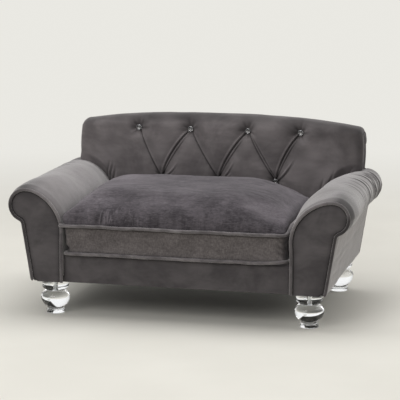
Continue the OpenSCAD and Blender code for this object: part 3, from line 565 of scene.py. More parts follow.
def arm_wrap(name, side):
    """The velvet and foam wrapped over one arm, drawn in at the piping and gathered at the rear."""
    line = arm_line(4.0)
    line = line[(line[:, 1] > 101) | (line[:, 0] > 300)]
    line = line if len(line) % 2 else np.delete(line, 1, 0)
    out = left_normals(line)
    ys = np.concatenate([[ARM_FRONT_Y, ARM_FRONT_Y + 1, ARM_FRONT_Y + 2.5], np.linspace(-252, 234, 200),
                         [ARM_REAR_Y - 1.5, ARM_REAR_Y]])
    x, z = line[:, 0][None, :], line[:, 1][None, :]
    y = ys[:, None]
    gone = travelled(line)[None, :]
    over_seat = np.clip(smooth((z - 225) / 35) + (x > 330), 0, 1)
    behind_back = smooth((y - 150) / 40) * (x < 380)
    free = over_seat * (1 - 0.8 * behind_back)
    fullness = np.where(gone < 330, 5.6, 3.6) * smooth((430 - gone) / 40) + 1.6 * smooth((gone - 390) / 40)
    lift = smooth((y - ARM_FRONT_Y) / 26) * (1 - 0.5 * smooth((y + 120) / 200)) * fullness * free
    plump = smooth((gone - 116) / 60) * (1 - smooth((gone - 222) / 70))
    plump = plump * smooth((y + 262) / 150) * (1 - smooth((y - 30) / 190))
    on_top = smooth((gone - 235) / 40) * (1 - smooth((gone - 325) / 40))
    lift = lift + SHOULDER_PLUMP * plump + 4.0 * bump(y + 185, 55) * on_top
    drawn_in = (1 - smooth((y - ARM_FRONT_Y) / 45)) * (1 - smooth((gone - 90) / 60))
    lift = lift - 3.2 * drawn_in
    lift = lift - 1.6 * bump(y - ARM_FRONT_Y, 3.0) - 1.5 * bump(y - ARM_REAR_Y, 5.0)
    spots = grid_of(x, y, z)
    uneven = rough_grid(spots, 70, side * 3.7) * 1.1 + rough_grid(spots, 26, 5.1 + side) * 0.35
    lift = lift + uneven * free
    chance = random.Random(11 + side)
    on_roll = smooth((gone - 235) / 40) * (1 - smooth((gone - 372) / 30))
    # Painted shade over the outer half of the roll.
    tone = -0.52 * smooth((gone - 256) / 26) * (1 - smooth((gone - 362) / 30)) * (0.9 + 0.45 * uneven)
    # Painted light on the left arm's inner slope and painted shade over its roll towards the front; the right
    # arm is painted darker all over.
    if side < 0:
        tone = tone + 0.2 * smooth((gone - 120) / 60) * (1 - smooth((gone - 225) / 40))
        tone = tone - 0.3 * smooth((gone - 225) / 30) * smooth((-y - 90) / 120)
    else:
        tone = tone - 0.1
    for at in np.arange(-60, 238, 13):
        centre = at + chance.uniform(-6, 6)
        slant = chance.uniform(-0.3, 0.1)
        depth = chance.uniform(0.4, 1.0) * (0.5 + smooth((at + 30) / 160))
        width = chance.uniform(2.6, 4.6)
        reach = chance.uniform(235, 320)
        wave = np.sin((gone - 250) / 19 + chance.uniform(0, 6)) * 1.8
        away = y - centre - slant * (gone - 250) - wave
        past = gone - reach
        here = depth * on_roll * smooth(past / 25) * (1 - smooth((past - chance.uniform(50, 130)) / 30))
        lift = lift - 1.7 * here * bump(away, width) + 0.7 * here * bump(away - 2.1 * width, width)
        # Painted shade in each crease and a painted highlight on the ridge beside it.
        tone = tone - 0.36 * here * bump(away, width) + 0.2 * here * bump(away - 2.1 * width, width)
    for _ in range(5):
        at_z, at_y = chance.uniform(120, 200), chance.uniform(-230, 180)
        slope = chance.uniform(-0.12, 0.12)
        lift = lift - 1.1 * bump(z - at_z - slope * (y - at_y), 6) * bump(y - at_y, 60) * (gone > 380)
    front = grid_of(x + out[:, 0] * lift + stuffed(x, y, side), y, z + out[:, 1] * lift)
    core = line - out * 16
    low = core[:, 1] < 101
    core[low & (core[:, 0] > 300)] = (np.interp(101, [88, 200], [342.5, 361]), 101)
    core[low & (core[:, 0] < 300), 1] = 101
    rear = grid_of(core[:, 0], y, core[:, 1])[::2, ::2]
    # Painted shade behind the front seam, where the cover gathers on top of the roll, and on the front edge in
    # the groove behind the piping.
    seam = bump(y + 252, 5) * smooth((gone - 120) / 60)
    painted_gather_shade = bump(y + 226, 16) * smooth((gone - 225) / 40) * (1 - smooth((gone - 350) / 40))
    tone = tone - 0.3 * seam - 0.2 * painted_gather_shade
    tone = np.where(y < ARM_FRONT_Y + 0.5, -0.8, tone)
    edge_painted_shade = np.where(rear[:, :, 1] < ARM_FRONT_Y + 0.5, -0.8, 0.0)
    points, faces = slab(front, rear)
    points[:, 0] *= side
    # The wrap takes the lighter copy of the velvet, as painted light.
    piece = make(f"{name}_arm_wrap", points, faces, "sofa", "arm velvet, lighter for painted light",
                 [f"{name}_arm_cover", f"{name}_arm_padding"])
    toned(piece, np.concatenate([tone.ravel(), edge_painted_shade.ravel()]))
    return piece


def stuffed(x, y, side):
    """How far the front of an arm's roll stands out sideways from its line. The left one is tighter."""
    front = 1 - smooth((y + 200) / 240)
    return np.where(side < 0, -LEFT_IN * smooth((x - 325) / 50), RIGHT_OUT * smooth((x - 290) / 50)) * front


def cord_inset(line):
    """How far the middle of the front piping is inside the arm's line: more along the seat."""
    gone = travelled(line)
    return 1.2 + 4.5 * (1 - smooth((gone - 95) / 70))


def arm_front(name, side):
    """The padded facing inside the piping of one arm, with a stitched strip along its edge."""
    line = arm_line(2.0)
    out = left_normals(line)
    inset = cord_inset(line) + 3.6
    outline = line - out * inset[:, None]
    outline = outline[outline[:, 1] >= BASE_Z + 0.4]
    outline = np.vstack([[outline[0, 0], BASE_Z], outline, [outline[-1, 0] - 6, BASE_Z]])
    outline = evenly(outline, 3.0)

    def height(flat, edge):
        crown = 1.1 * smooth(edge / 30) + 0.4 * rough_flat(flat, 40, side)
        at_edge = distance_to_line(flat, outline[1:-1])
        seam = 0.5 * bump(at_edge - 6.5, 1.2)
        front = 0.2 + 1.9 * smooth(at_edge / 5) + crown - seam
        return front, np.full(len(flat), -2.9)

    flat, faces = panel(outline, 4.0, height)
    across = flat[:, 0] + stuffed(flat[:, 0], ARM_FRONT_Y, side)
    points = np.column_stack([across * side, ARM_FRONT_Y - flat[:, 2] - 0.3, flat[:, 1]])
    points[len(points) // 2:, 1] = ARM_FRONT_Y - 0.05
    piece = make(f"{name}_arm_front", points, faces, "sofa", "velvet",
                 [f"{name}_arm_facing"])
    at_edge = distance_to_line(flat[:, :2], outline[1:-1])
    # Painted shade in the groove beside the piping and along the stitched line.
    toned(piece, -0.8 * bump(at_edge, 3.0) - 0.12 * bump(at_edge - 7, 2.5))
    return piece


# Piping, laid by nodes along its line


class Grower:
    """A geometry tree that ends in one smooth mesh with a finish."""

    def __init__(self, name, **inputs):
        self.tree = bpy.data.node_groups.new(name, "GeometryNodeTree")
        sockets = self.tree.interface.new_socket
        for label, kind in inputs.items():
            sockets(label.replace("_", " "), in_out="INPUT", socket_type="NodeSocket" + kind)
        sockets("Grown", in_out="OUTPUT", socket_type="NodeSocketGeometry")
        self.start = self.node("NodeGroupInput")

    def node(self, kind, **values):
        node = self.tree.nodes.new(kind)
        for label, value in values.items():
            node.inputs[label.replace("_", " ")].default_value = value
        return node

    def link(self, *steps):
        """Link nodes, each step as a node, its output, the next node and its input."""
        for source, output, target, socket in steps:
            self.tree.links.new(source.outputs[output], target.inputs[socket])

    def ended(self, source, output):
        shade, real = self.node("GeometryNodeSetShadeSmooth"), self.node("GeometryNodeRealizeInstances")
        finish, end = self.node("GeometryNodeSetMaterial"), self.node("NodeGroupOutput")
        self.link((source, output, shade, "Geometry"), (shade, "Geometry", real, "Geometry"),
                  (real, "Geometry", finish, "Geometry"), (self.start, "Finish", finish, "Material"),
                  (finish, "Geometry", end, "Grown"))
        return self.tree


def cord_tree():
    """A covered cord along a line: a round section, a little thinner where the stitching pulls."""
    cord = Grower("covered cord", Line="Geometry", Radius="Float", Unevenness="Float", Pull_spacing="Float",
                  Finish="Material")
    curve, tube = cord.node("GeometryNodeMeshToCurve"), cord.node("GeometryNodeCurveToMesh", Fill_Caps=True)
    section = cord.node("GeometryNodeCurvePrimitiveCircle", Resolution=12)
    spot, normal = cord.node("GeometryNodeInputPosition"), cord.node("GeometryNodeInputNormal")
    waves, move = cord.node("ShaderNodeTexNoise", Detail=2.0), cord.node("GeometryNodeSetPosition")
    centred, factor = cord.node("ShaderNodeMath"), cord.node("ShaderNodeMath")
    centred.operation, centred.inputs[1].default_value = "SUBTRACT", 0.5
    push = cord.node("ShaderNodeVectorMath")
    factor.operation, push.operation = "MULTIPLY", "SCALE"
    cord.link((cord.start, "Line", curve, "Mesh"), (curve, "Curve", tube, "Curve"),
              (cord.start, "Radius", section, "Radius"), (section, "Curve", tube, "Profile Curve"),
              (tube, "Mesh", move, "Geometry"), (spot, "Position", waves, "Vector"),
              (cord.start, "Pull spacing", waves, "Scale"), (waves, 0, centred, 0), (centred, 0, factor, 0),
              (cord.start, "Unevenness", factor, 1), (normal, "Normal", push, 0),
              (factor, 0, push, "Scale"), (push, "Vector", move, "Offset"))
    return cord.ended(move, "Geometry")


def socket_id(tree, name):
    return next(i.identifier for i in tree.interface.items_tree if i.name == name and i.in_out == "INPUT")


def grown(name, tree, mesh, inputs):
    """The plain mesh that a node tree makes from a mesh."""
    carrier = placed(name + "_line", mesh)
    modifier = carrier.modifiers.new("grown", "NODES")
    modifier.node_group = tree
    for label, value in inputs.items():
        modifier[socket_id(tree, label)] = value
    graph = bpy.context.evaluated_depsgraph_get()
    result = bpy.data.meshes.new_from_object(carrier.evaluated_get(graph))
    bpy.data.objects.remove(carrier)
    result.name = name
    return placed(name, result)


def piping(name, line, radius, closed, body, slot, replaced, uneven=0.0012, spacing=60.0):
    """A covered cord along a line of points in millimetres."""
    count = len(line)
    edges = [(i, (i + 1) % count) for i in range(count if closed else count - 1)]
    piece = grown(name, CORD, mesh_of(name + "_line", line, edges, []), {
        "Radius": radius / 1000, "Unevenness": uneven, "Pull spacing": spacing, "Finish": FINISHES[slot]})
    piece = fitted(piece, body, slot, replaced)
    return piece


def arm_piping(name, side):
    line = arm_line(3.0)
    out = left_normals(line)
    path = line - out * cord_inset(line)[:, None]
    path = path[path[:, 1] >= BASE_Z + 3.8]
    path = np.vstack([[path[0, 0], BASE_Z + 0.2], path, [path[-1, 0] - 2, BASE_Z + 4.0]])
    path = evenly(path, 3.0)
    across = path[:, 0] + stuffed(path[:, 0], ARM_FRONT_Y, side)
    points = np.column_stack([across * side, np.full(len(path), -260.5), path[:, 1]])
    cord = piping(f"{name}_arm_piping_cord", points, 3.9, False, "sofa", "piping_velvet",
                  [f"{name}_arm_piping"], 0.0006)
    # Painted light and shade on the cord: darker all round, darkest low on the outer side, lighter on the
    # inner side higher up.
    x, y, z = places(cord).T
    outer = smooth((np.abs(x) - 350) / 40)
    inner_half = smooth((-y - 260) / 3)
    low = smooth((292 - z) / 20)
    dark = 0.45 * outer * low * (0.5 + 0.5 * inner_half)
    return toned(cord, -0.25 - dark + 0.45 * (1 - outer) * smooth((z - 200) / 60))


CORD = cord_tree()
for name, side in SIDES:
    arm_wrap(name, side)
    arm_front(name, side)
    arm_piping(name, side)


# Back


def crest_z(x):
    return CREST_Z - 25 * (np.abs(x) / BACK_HALF) ** 2.6


def back_line(z):
    return 203 - (UPPER_Z - z) * BACK_LEAN


def end_bulge(x, z):
    """How far the ends of the back stand out sideways at a height, from its padding."""
    height = np.clip((z - 300) / (crest_z(x) - 300), 0, 1)
    return 4.5 * smooth((np.abs(x) - 340) / 33) * np.sin(np.pi * height)


def folds():
    """The creases round the buttons as curves: start, bend, end, depth, width, ridge, share at full depth.
    Seen from the front, pleats that lean right bow to the left and bring two or three companions."""
    chance = random.Random(3)
    for (xa, za), (xb, zb) in zip(BUTTONS, BUTTONS[1:]):
        upper, lower = ((xa, za), (xb, zb)) if za > zb else ((xb, zb), (xa, za))
        u, l = np.array(upper, float), np.array(lower, float)
        middle = (u + l) / 2
        j = lambda: np.array([chance.uniform(-1.5, 1.5), chance.uniform(-1.5, 1.5)])
        if u[0] > l[0]:
            yield l + (1, 4), middle + (-15, 6) + j(), u + (-4, -5), 4.6, 2.0, 3.2, 0.95
            yield l + (3, 5), middle + (-5, 2) + j(), u + (-1, -9), 2.6, 1.6, 2.6, 0.55
            if u[0] < 200:
                yield l + (8, -1), l + (32, 8), l + (48, 44 + 16 * (u[0] > 0)) + j(), 2.6, 2.6, 3.0, 0.4
                yield l + (16, -4), l + (32, 2), l + (42, 20), 1.6, 2.6, 1.8, 0.3
            else:
                yield l + (7, 2), l + (28, 14), l + (55, 64), 3.2, 3.0, 3.6, 0.5
        else:
            yield l + (-3, 5), middle + (-4, -5) + j(), u + (3, -6), 3.6, 1.7, -1.6, 0.95
            yield l + (-7, 4), l + (-13, 15) + j(), l + (-15, 34) + j(), 1.6, 2.2, -1.2, 0.3
            if u[0] > 0:
                yield l + (1, 6), middle + (2, -3) + j(), u + (7, -7), 2.8, 1.6, -1.2, 0.9


def along_curve(p, start, bend, end):
    """How far points are to the left of a curve, and the share of its length they are beside."""
    t = np.linspace(0, 1, 17)[:, None]
    line = (1 - t) ** 2 * start + 2 * t * (1 - t) * bend + t * t * end
    best, share = np.full(len(p), 1e9), np.zeros(len(p))
    for i, (a, b) in enumerate(zip(line, line[1:])):
        run = b - a
        on = np.clip(((p - a) @ run) / (run @ run), 0, 1)
        off = p - a - on[:, None] * run
        side = run[0] * off[:, 1] - run[1] * off[:, 0]
        away = np.linalg.norm(off, axis=1) * np.where(side < 0, -1, 1)
        nearer = np.abs(away) < np.abs(best)
        best, share = np.where(nearer, away, best), np.where(nearer, (i + on) / 16, share)
    return best, share


def swelling(x, z):
    """How far the padding stands out between the buttons, as a share, the creases in millimetres,
    the distance from the nearest button and the tone: painted shade in the creases and round the buttons, with
    painted highlights beside them."""
    p = np.stack([x.ravel(), z.ravel()], axis=1)
    to_fold = np.full(len(p), 1e9)
    crease, tone = np.zeros(len(p)), np.zeros(len(p))
    for (xa, za), (xb, zb) in zip(BUTTONS, BUTTONS[1:]):
        to_fold = np.minimum(to_fold, distance_to_line(p, np.array([[xa, za], [xb, zb]], float)))
    for first, bend, last, depth, width, ridge, full in folds():
        away, t = along_curve(p, first, bend, last)
        fade = smooth((t + 0.02) / 0.06) * (1 - smooth((t - full) / (1.02 - full)))
        beside = np.sign(ridge) * (width + 1.6)
        crease += fade * (-depth * bump(away, width) + abs(ridge) * bump(away - beside, width))
        # Painted shade along each crease and a painted highlight on its ridge.
        lit = 0.2 * abs(ridge) * bump(away - beside, width * 0.8)
        tone += fade * (-0.17 * depth * bump(away, width * 0.85) + lit)
    to_button = np.full(len(p), 1e9)
    gathers = np.zeros(len(p))
    for i, (bx, bz) in enumerate(BUTTONS):
        d = np.hypot(p[:, 0] - bx, p[:, 1] - bz)
        turn = np.arctan2(p[:, 1] - bz, p[:, 0] - bx)
        to_button = np.minimum(to_button, d)
        count = 7 if bz == UPPER_Z else 9
        wave = np.sin(turn * count + i * 2.1) + 0.5 * np.sin(turn * (count + 5) + i)
        near = smooth((d - 5) / 8) * bump(np.maximum(0, d - 11), 10)
        gathers += 1.2 * wave * near
        if bz == UPPER_Z:
            shadow = bump(np.hypot((p[:, 0] - bx + 9) / 1.3, p[:, 1] - bz - 2), 13)
        else:
            shadow = bump(np.hypot(p[:, 0] - bx, (p[:, 1] - bz - 4) / 1.3), 12)
        # Painted shadow beside each button and painted shade in its dimple, with lighter and darker gathers.
        tone += 0.1 * wave * near - 0.5 * shadow - 0.3 * bump(d, 8)
    share = 1 - 0.5 * bump(to_fold, 17) - 0.5 * bump(to_button, 19)
    crease = crease + gathers - 2.6 * bump(to_button, 12) * smooth((to_button - 4) / 4)
    return (a.reshape(x.shape) for a in (share, crease, to_button, tone))


def shoulder(angle, gap):
    a, b = ROLL_X - INNER_X, ARM_TOP - SHOULDER_Z
    n = np.array([-math.cos(angle) / a, math.sin(angle) / b])
    n /= np.linalg.norm(n)
    return np.array([ROLL_X - a * math.cos(angle), SHOULDER_Z + b * math.sin(angle)]) + gap * n


def back_columns():
    """The back's columns from the left to the right, [x, lowest z]."""
    middle = [(x, BACK_LOW_Z) for x in np.linspace(0, 274, 140)]
    rise = [(274 + 3 * t, BACK_LOW_Z + (200 - BACK_LOW_Z) * t) for t in np.linspace(0, 1, 8)[1:]]
    end = math.acos((ROLL_X - BACK_END) / (ROLL_X - INNER_X))
    wing = [shoulder(end * t, 2.0) for t in np.linspace(0, 1, 46)[1:]]
    right = np.array(middle + rise + [tuple(p) for p in wing])
    right[-1, 0] = BACK_END
    left = right[1:][::-1] * np.array([-1, 1])
    return np.vstack([left, right])


def back_surface(depth, detailed):
    """The tufted face and the roll over the top, as a grid of (rows, columns, 3)."""
    columns = back_columns()
    x, low = columns[:, 0][None, :], columns[:, 1][None, :]
    front = np.linspace(0, 1, 125)[:, None]
    z = low + (UPPER_Z - low) * front
    lean = math.atan(BACK_LEAN)
    y = back_line(z)
    ny, nz = np.full_like(z, math.cos(lean)), np.full_like(z, -math.sin(lean))
    rows = [(z, y, ny, nz, np.ones_like(z))]
    turn = np.radians(np.linspace(0, 90, 24)[1:])[:, None]
    rise = crest_z(x) - UPPER_Z
    inward = np.stack([np.cos(turn) / 35 + 0 * rise, -np.sin(turn) / rise])
    inward /= np.linalg.norm(inward, axis=0)
    rows.append((UPPER_Z + rise * np.sin(turn), CREST_Y - 35 * np.cos(turn) + 0 * rise, inward[0], inward[1],
                 np.cos(turn) ** 2 + 0 * rise))
    turn = np.radians(np.linspace(90, -85.75, 34)[1:])[:, None]
    rows.append((crest_z(x) - 27 + 27 * np.sin(turn), CREST_Y + 27 * np.cos(turn) + 0 * rise,
                 -np.cos(turn) + 0 * rise, -np.sin(turn) + 0 * rise, np.zeros_like(np.sin(turn) + rise)))
    z, y, ny, nz, fade = (np.concatenate([r[k] for r in rows]) for k in range(5))
    x = np.broadcast_to(x, z.shape)
    if not detailed:
        return grid_of(x, y + depth * ny, z + depth * nz)
    share, crease, to_button, tone = swelling(x, z)
    # Painted light and shade: darker where the roll over the top faces up and towards the right end, lighter
    # at the upper left and above the middle, and darker on the crest.
    behind = 0.3 * (1 - fade)
    tone = tone * smooth((z - 215) / 25) * fade - 0.6 * np.clip((behind - nz) / (1 + behind), 0, 1) ** 1.1
    tone = tone - (0.2 * smooth((x - 290) / 70) + 0.3 * smooth((x - 352) / 16)) * fade
    painted_light_upper_left = smooth((z - 366) / 22) * (1 - smooth((z - 418) / 12)) * (1 - smooth((x - 10) / 60))
    crest = smooth((z - 420) / 10) * fade * (x > -190)
    tone = tone + 0.15 * painted_light_upper_left * fade
    tone = tone + 0.14 * bump(x + 20, 55) * bump(z - 362, 26) - 0.13 * crest
    low_fade = smooth((z - low) / ((0.43 - 0.2 * smooth((np.abs(x) - 265) / 25)) * (UPPER_Z - low)))
    side_fade = smooth((BACK_END - np.abs(x)) / 60)
    creased = crease * np.minimum(fade * 1.2, 1) * smooth((z - 200) / 40)
    out = TUFT_DEPTH * share * low_fade * fade * side_fade + creased
    spots = grid_of(x, y, z)
    broad, small = rough_grid(spots, 48, 4.4), rough_grid(spots, 30, 8.3)
    uneven = rough_grid(spots, 90, 2.2) * 1.3 + small * 0.35
    tone = tone + 0.18 * broad + 0.1 * small
    out = out + uneven * smooth((to_button - 8) / 30) * smooth((BACK_END - np.abs(x)) / 25)
    # Short pulls where the back goes down behind the arms, with painted shade in each pull and a painted
    # highlight beside it
    for at, top, slant in ((-306, 326, 0.22), (-295, 322, 0.2), (-283, 306, 0.16), (-262, 290, 0.1),
                           (268, 300, 0.25), (279, 322, 0.42), (291, 316, 0.5), (306, 332, 0.6)):
        line = x - at - slant * (z - 250)
        pull = smooth((top - z) / 34) * smooth((z - 215) / 20) * (fade > 0.99)
        out = out + (-2.6 * bump(line, 2.6) + 1.6 * bump(line - 5, 3.0)) * pull
        tone = tone + (-0.42 * bump(line, 2.4) + 0.32 * bump(line - 5, 2.6)) * pull
    edge = np.clip((np.abs(x) - (BACK_END - 14)) / 14, 0, 1)
    out = out - 11 * (1 - np.sqrt(np.maximum(0, 1 - edge ** 2))) * smooth((z - low) / 25)
    wide = x + np.sign(x) * end_bulge(x, z)
    return grid_of(wide, y - out * ny + depth * ny, z - out * nz + depth * nz), tone


def tufted_back():
    front, tone = back_surface(0, True)
    rear = back_surface(14, False)
    rear[:, :, 1] = np.maximum(rear[:, :, 1], front[:, :, 1] + 3)
    points, faces = slab(front, rear[::2, ::2])
    # The tufted back takes the lighter copy of the velvet, as painted light.
    piece = make("tufted_back", points, faces, "sofa", "back velvet, lighter for painted light",
                 ["inner_back_cover", "back_padding", "back_roll_padding"])
    toned(piece, tone.ravel())
    return front


back_face = tufted_back()


def back_side(name, side):
    """The panel that closes one side of the back, a little full in its middle."""
    line = back_face[:, -1 if side > 0 else 0, 1:]
    line = np.vstack([line, [[240.0, line[0, 1]]]])

    def height(flat, edge):
        full = 3.0 * smooth(edge / 20) + 0.4 * rough_flat(flat, 25, 4 + side)
        return full - 0.7 * bump(edge - 4, 1.3), np.full(len(flat), -2.0)

    flat, faces = panel(line, 4.0, height)
    out = BACK_END + end_bulge(BACK_END, flat[:, 1]) + flat[:, 2]
    points = np.column_stack([side * out, flat[:, 0], flat[:, 1]])
    # The side panels take the darker copy of the velvet, as painted shade.
    piece = make(f"{name}_back_side", points, faces, "sofa", "side velvet, darker for painted shade",
                 [f"{name}_back_gusset"])


def rear_panel():
    """The velvet over the rear, hand-stitched round its edge, in one sheet with the rears of the arms."""
    line = arm_line(3.0)
    end = math.acos((ROLL_X - BACK_END) / (ROLL_X - INNER_X))
    top = shoulder(end, 0)
    over = line[(line[:, 0] >= top[0]) & (line[:, 1] > 100) | (line[:, 1] <= 100) & (line[:, 0] > 300)]
    over = over[over[:, 0] > 300]
    over = np.vstack([over, [[over[-1, 0] - 3, BASE_Z + 0.3]]])
    right = over[::-1]
    xs, edge_z = back_face[-1, ::-1, 0], back_face[-1, ::-1, 2] - 0.3
    end_z = np.linspace(right[-1, 1] + 5, edge_z[0], 16)
    end_x = BACK_END + 0.4 + end_bulge(BACK_END, end_z)
    right = np.vstack([right, np.column_stack([end_x, end_z])])
    left = right[::-1] * np.array([-1, 1])
    outline = np.vstack([right, np.stack([xs, edge_z], axis=1)[1:-1], left])

    def height(flat, edge):
        full = 2.2 * smooth(edge / 60) + 0.9 * rough_flat(flat, 120, 6.0) + 0.3 * rough_flat(flat, 40, 1.0)
        near_edge = bump(np.maximum(0, edge - 2), 14)
        pulls = 0.5 * np.sin(flat[:, 0] / 9 + 2 * rough_flat(flat, 60, 3.0)) * near_edge
        return 1.2 + full + pulls - 1.0 * bump(edge - 3, 1.3) - 1.1 * bump(edge, 2), np.full(len(flat), 0.1)

    flat, faces = panel(outline, 5.5, height)
    points = np.column_stack([flat[:, 0], ARM_REAR_Y + flat[:, 2], flat[:, 1]])
    piece = make("rear_panel", points, faces, "sofa", "velvet", ["outer_back_cover"])


for name, side in SIDES:
    back_side(name, side)
rear_panel()


# Front band, deck and underside


def front_band():
    """The velvet over the front rail, folded back over the deck's front edge."""
    xs = np.linspace(-278.2, 278.2, 140)
    section = ([(-250.0, 88.0)] + [(-250.0, z) for z in np.linspace(90, 150, 16)]
               + [(-250 + 6 - 6 * math.cos(t), 150.8 + 6 * math.sin(t))
                  for t in np.linspace(0.1, math.pi / 2, 6)]
               + [(y, 156.8) for y in np.linspace(-240, -188.5, 8)])
    section = np.array(section)
    out = left_normals(section)
    grid = grid_of(xs[:, None], section[:, 0], section[:, 1])
    wide = np.where(section[:, 1] < 108.0, 286.0, np.where(section[:, 0] < -247, 281.5, 278.2)) / 278.2
    grid[:, :, 0] *= 1 + (wide - 1)[None, :] * (np.abs(grid[:, :, 0]) > 275)
    lift = rough_grid(grid, 60, 7.0) * 0.7 + rough_grid(grid, 200, 1.5) * 0.9 - 0.7
    lift = lift * smooth((section[:, 1] - 88) / 8)[None, :]
    side = smooth((278.2 - np.abs(xs)) / 5)[:, None]
    lift = lift * side - 1.2 * (1 - side)
    lift = np.where(section[None, :, 0] > -243, np.minimum(lift, 0), lift)
    front = grid.copy()
    front[:, :, 1] += -np.abs(out[:, 0])[None, :] * lift
    front[:, :, 2] += np.abs(out[:, 1])[None, :] * lift * (section[None, :, 0] > -250)
    rear = grid.copy()
    rear[:, :, 1] = np.minimum(grid[:, :, 1] + 4.9, np.where(grid[:, :, 2] > 150, -188.5, -245.2))
    rear[:, :, 2] = np.minimum(grid[:, :, 2], 155.7)
    rear[:, :, 1] = np.where(grid[:, :, 2] >= 156.7, grid[:, :, 1], rear[:, :, 1])
    points, faces = slab(front, rear)
    piece = make("front_band", points, faces, "sofa", "velvet",
                 ["front_rail_cover", "front_rail_padding"])


def level_grid(x, y0, y1, columns, rows):
    """A level grid of points, and how far each is from the grid's edge."""
    grid = grid_of(np.linspace(-x, x, columns), np.linspace(y0, y1, rows)[:, None], 0.0)
    return grid, np.minimum.reduce([grid[:, :, 0] + x, x - grid[:, :, 0], grid[:, :, 1] - y0,
                                    y1 - grid[:, :, 1]])


def flat_layer(name, x, y0, y1, z0, z1, slot, replaced, waves, step=9.0):
    """A cloth-covered layer with soft edges, a slightly uneven top and a flat underside."""
    grid, edge = level_grid(x, y0, y1, int(2 * x / step), int((y1 - y0) / step))
    uneven = rough_grid(grid, 55, z0) * waves
    upper, lower = grid.copy(), grid.copy()
    upper[:, :, 2] = z1 - (z1 - z0) * 0.3 * (1 - smooth(edge / 6)) - np.abs(uneven) * smooth(edge / 20)
    lower[:, :, 2] = z0
    points, faces = slab(upper, lower)
    return make(name, points, faces, "sofa", slot, replaced)


front_band()
low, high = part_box("deck_cover")
deck = flat_layer("deck_pad", high.x * 1000, low.y * 1000, high.y * 1000, 147.7, 156.8, "lining",
                  ["deck_cover", "deck_padding"], 0.5)


def under_cloth():
    """The black cloth under the base, drawn tight with shallow pulls between its staples."""
    low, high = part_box("dust_cover")
    x, y0, y1 = high.x * 1000, low.y * 1000, high.y * 1000
    grid, edge = level_grid(x, y0, y1, 130, 90)
    pulls = 0.28 * np.sin(grid[:, :, 0] / 7) * bump(grid[:, :, 1] - y0, 30)
    pulls += 0.28 * np.sin(grid[:, :, 0] / 7) * bump(grid[:, :, 1] - y1, 30)
    sag = 1.2 * smooth(edge / 120)
    away = np.full(grid.shape[:2], 1e9)
    for fx, fy in FEET:
        away = np.minimum(away, np.hypot(grid[:, :, 0] - fx, grid[:, :, 1] - fy))
    free = smooth((away - 33) / 30)
    lower, upper = grid.copy(), grid.copy()
    lower[:, :, 2] = 88.05 - (sag + np.abs(pulls)) * free
    upper[:, :, 2] = 88.55
    points, faces = slab(upper, lower)
    piece = make("under_cloth", points, faces, "sofa", "lining", ["dust_cover"])


FEET = [(side * 319.0, y) for side in (-1, 1) for y in (-202.0, 205.0)]
under_cloth()


# Feet


def turned_foot(name, x, y):
    """A turned clear foot: a base, a squashed ball and a rounded drum with the bolt's bore in its top."""
    def arc(cx, cz, rx, rz, a0, a1, steps):
        return [(cx + rx * math.cos(math.radians(a)), cz + rz * math.sin(math.radians(a)))
                for a in np.linspace(a0, a1, steps)]

    profile = [(0.0, 0.0), (12.0, 0.0), (20.5, 0.0)] + arc(20.9, 1.6, 1.6, 1.6, -90, 0, 5)
    profile += arc(20.9, 7.4, 1.6, 1.6, 0, 80, 5) + [(19.7, 9.6), (19.4, 11.0)]
    ball_z, ball_r = 40.5, 36.0
    profile += [(19.8 + (ball_r - 19.8) * math.cos(t) ** 0.85, ball_z - (ball_z - 12.4) * t / (math.pi / 2))
                for t in np.linspace(math.pi / 2 - 0.02, 0.05, 24)]
    profile += arc(20.4, ball_z, ball_r - 20.4, 14.2, 0, 86, 16)
    profile += [(20.6, 55.6), (20.5, 56.6), (20.8, 57.6)] + arc(20.8, 69.5, 12.2, 11.6, -87, 0, 14)
    profile += [(33.0, 78.0)] + arc(31.4, 86.3, 1.6, 1.6, 0, 90, 5)
    profile += [(18.0, 87.95), (4.3, 87.95), (4.06, 87.6)]
    profile += [(4.06, 76.0), (4.06, 64.2), (3.6, 63.7), (0.0, 63.7)]
    points, faces = turned([(r, z, 0) for r, z in profile], 72,
                           lambda r, angle, z: (x + r * math.cos(angle), y + r * math.sin(angle), z))
    return make(name + "_turned", points, faces, "sofa", "acrylic", [name])


for name, (x, y) in zip(("front_left_foot", "rear_left_foot", "front_right_foot", "rear_right_foot"), FEET):
    turned_foot(name, x, y)


# Crystal buttons


CRYSTAL_RINGS = [(0.0, 5.7, 0), (6.0, 5.9, 0), (6.1, 6.7, 0.5), (4.9, 8.6, 0), (3.1, 9.8, 0.5), (0.0, 9.8, 0)]
CUP_RINGS = [(0.0, 0.1, 0), (0.5, 0.4, 0), (1.5, 1.4, 0), (1.5, 2.3, 0), (5.4, 4.2, 0), (6.9, 4.9, 0),
             (7.0, 5.9, 0), (6.5, 6.6, 0), (6.0, 6.2, 0), (5.6, 5.5, 0), (0.0, 5.5, 0)]


def button_set(kind, slot, rings, sides, cut):
    """All seven cut crystals or their metal settings, in one mesh."""
    points, faces = [], []
    for bx, bz in BUTTONS:
        y = back_line(bz)
        spots, bands = turned(rings, sides, lambda r, angle, out: (bx + r * math.cos(angle), y - out,
                                                                   bz + r * math.sin(angle)), len(points), cut)
        points += spots
        faces += bands
    return make("button_" + kind + "_cut", points, faces, "sofa", slot, ["button_" + kind],
                smooth_shaded=not cut)


button_set("crystals", "crystal", CRYSTAL_RINGS, 12, True)
button_set("cups", "bright_metal", CUP_RINGS, 32, False)


# Cushion


def plan(half_x, half_y, radius, step=5.0):
    """A rectangle with round corners about the cushion's middle, counterclockwise from its right side."""
    line = []
    for i, (sx, sy) in enumerate(((1, 1), (-1, 1), (-1, -1), (1, -1))):
        for t in np.linspace(i * math.pi / 2, (i + 1) * math.pi / 2, 14):
            line.append((sx * (half_x - radius) + radius * math.cos(t),
                         sy * (half_y - radius) + radius * math.sin(t)))
    line.append(line[0])
    return evenly(line, step)[:-1]


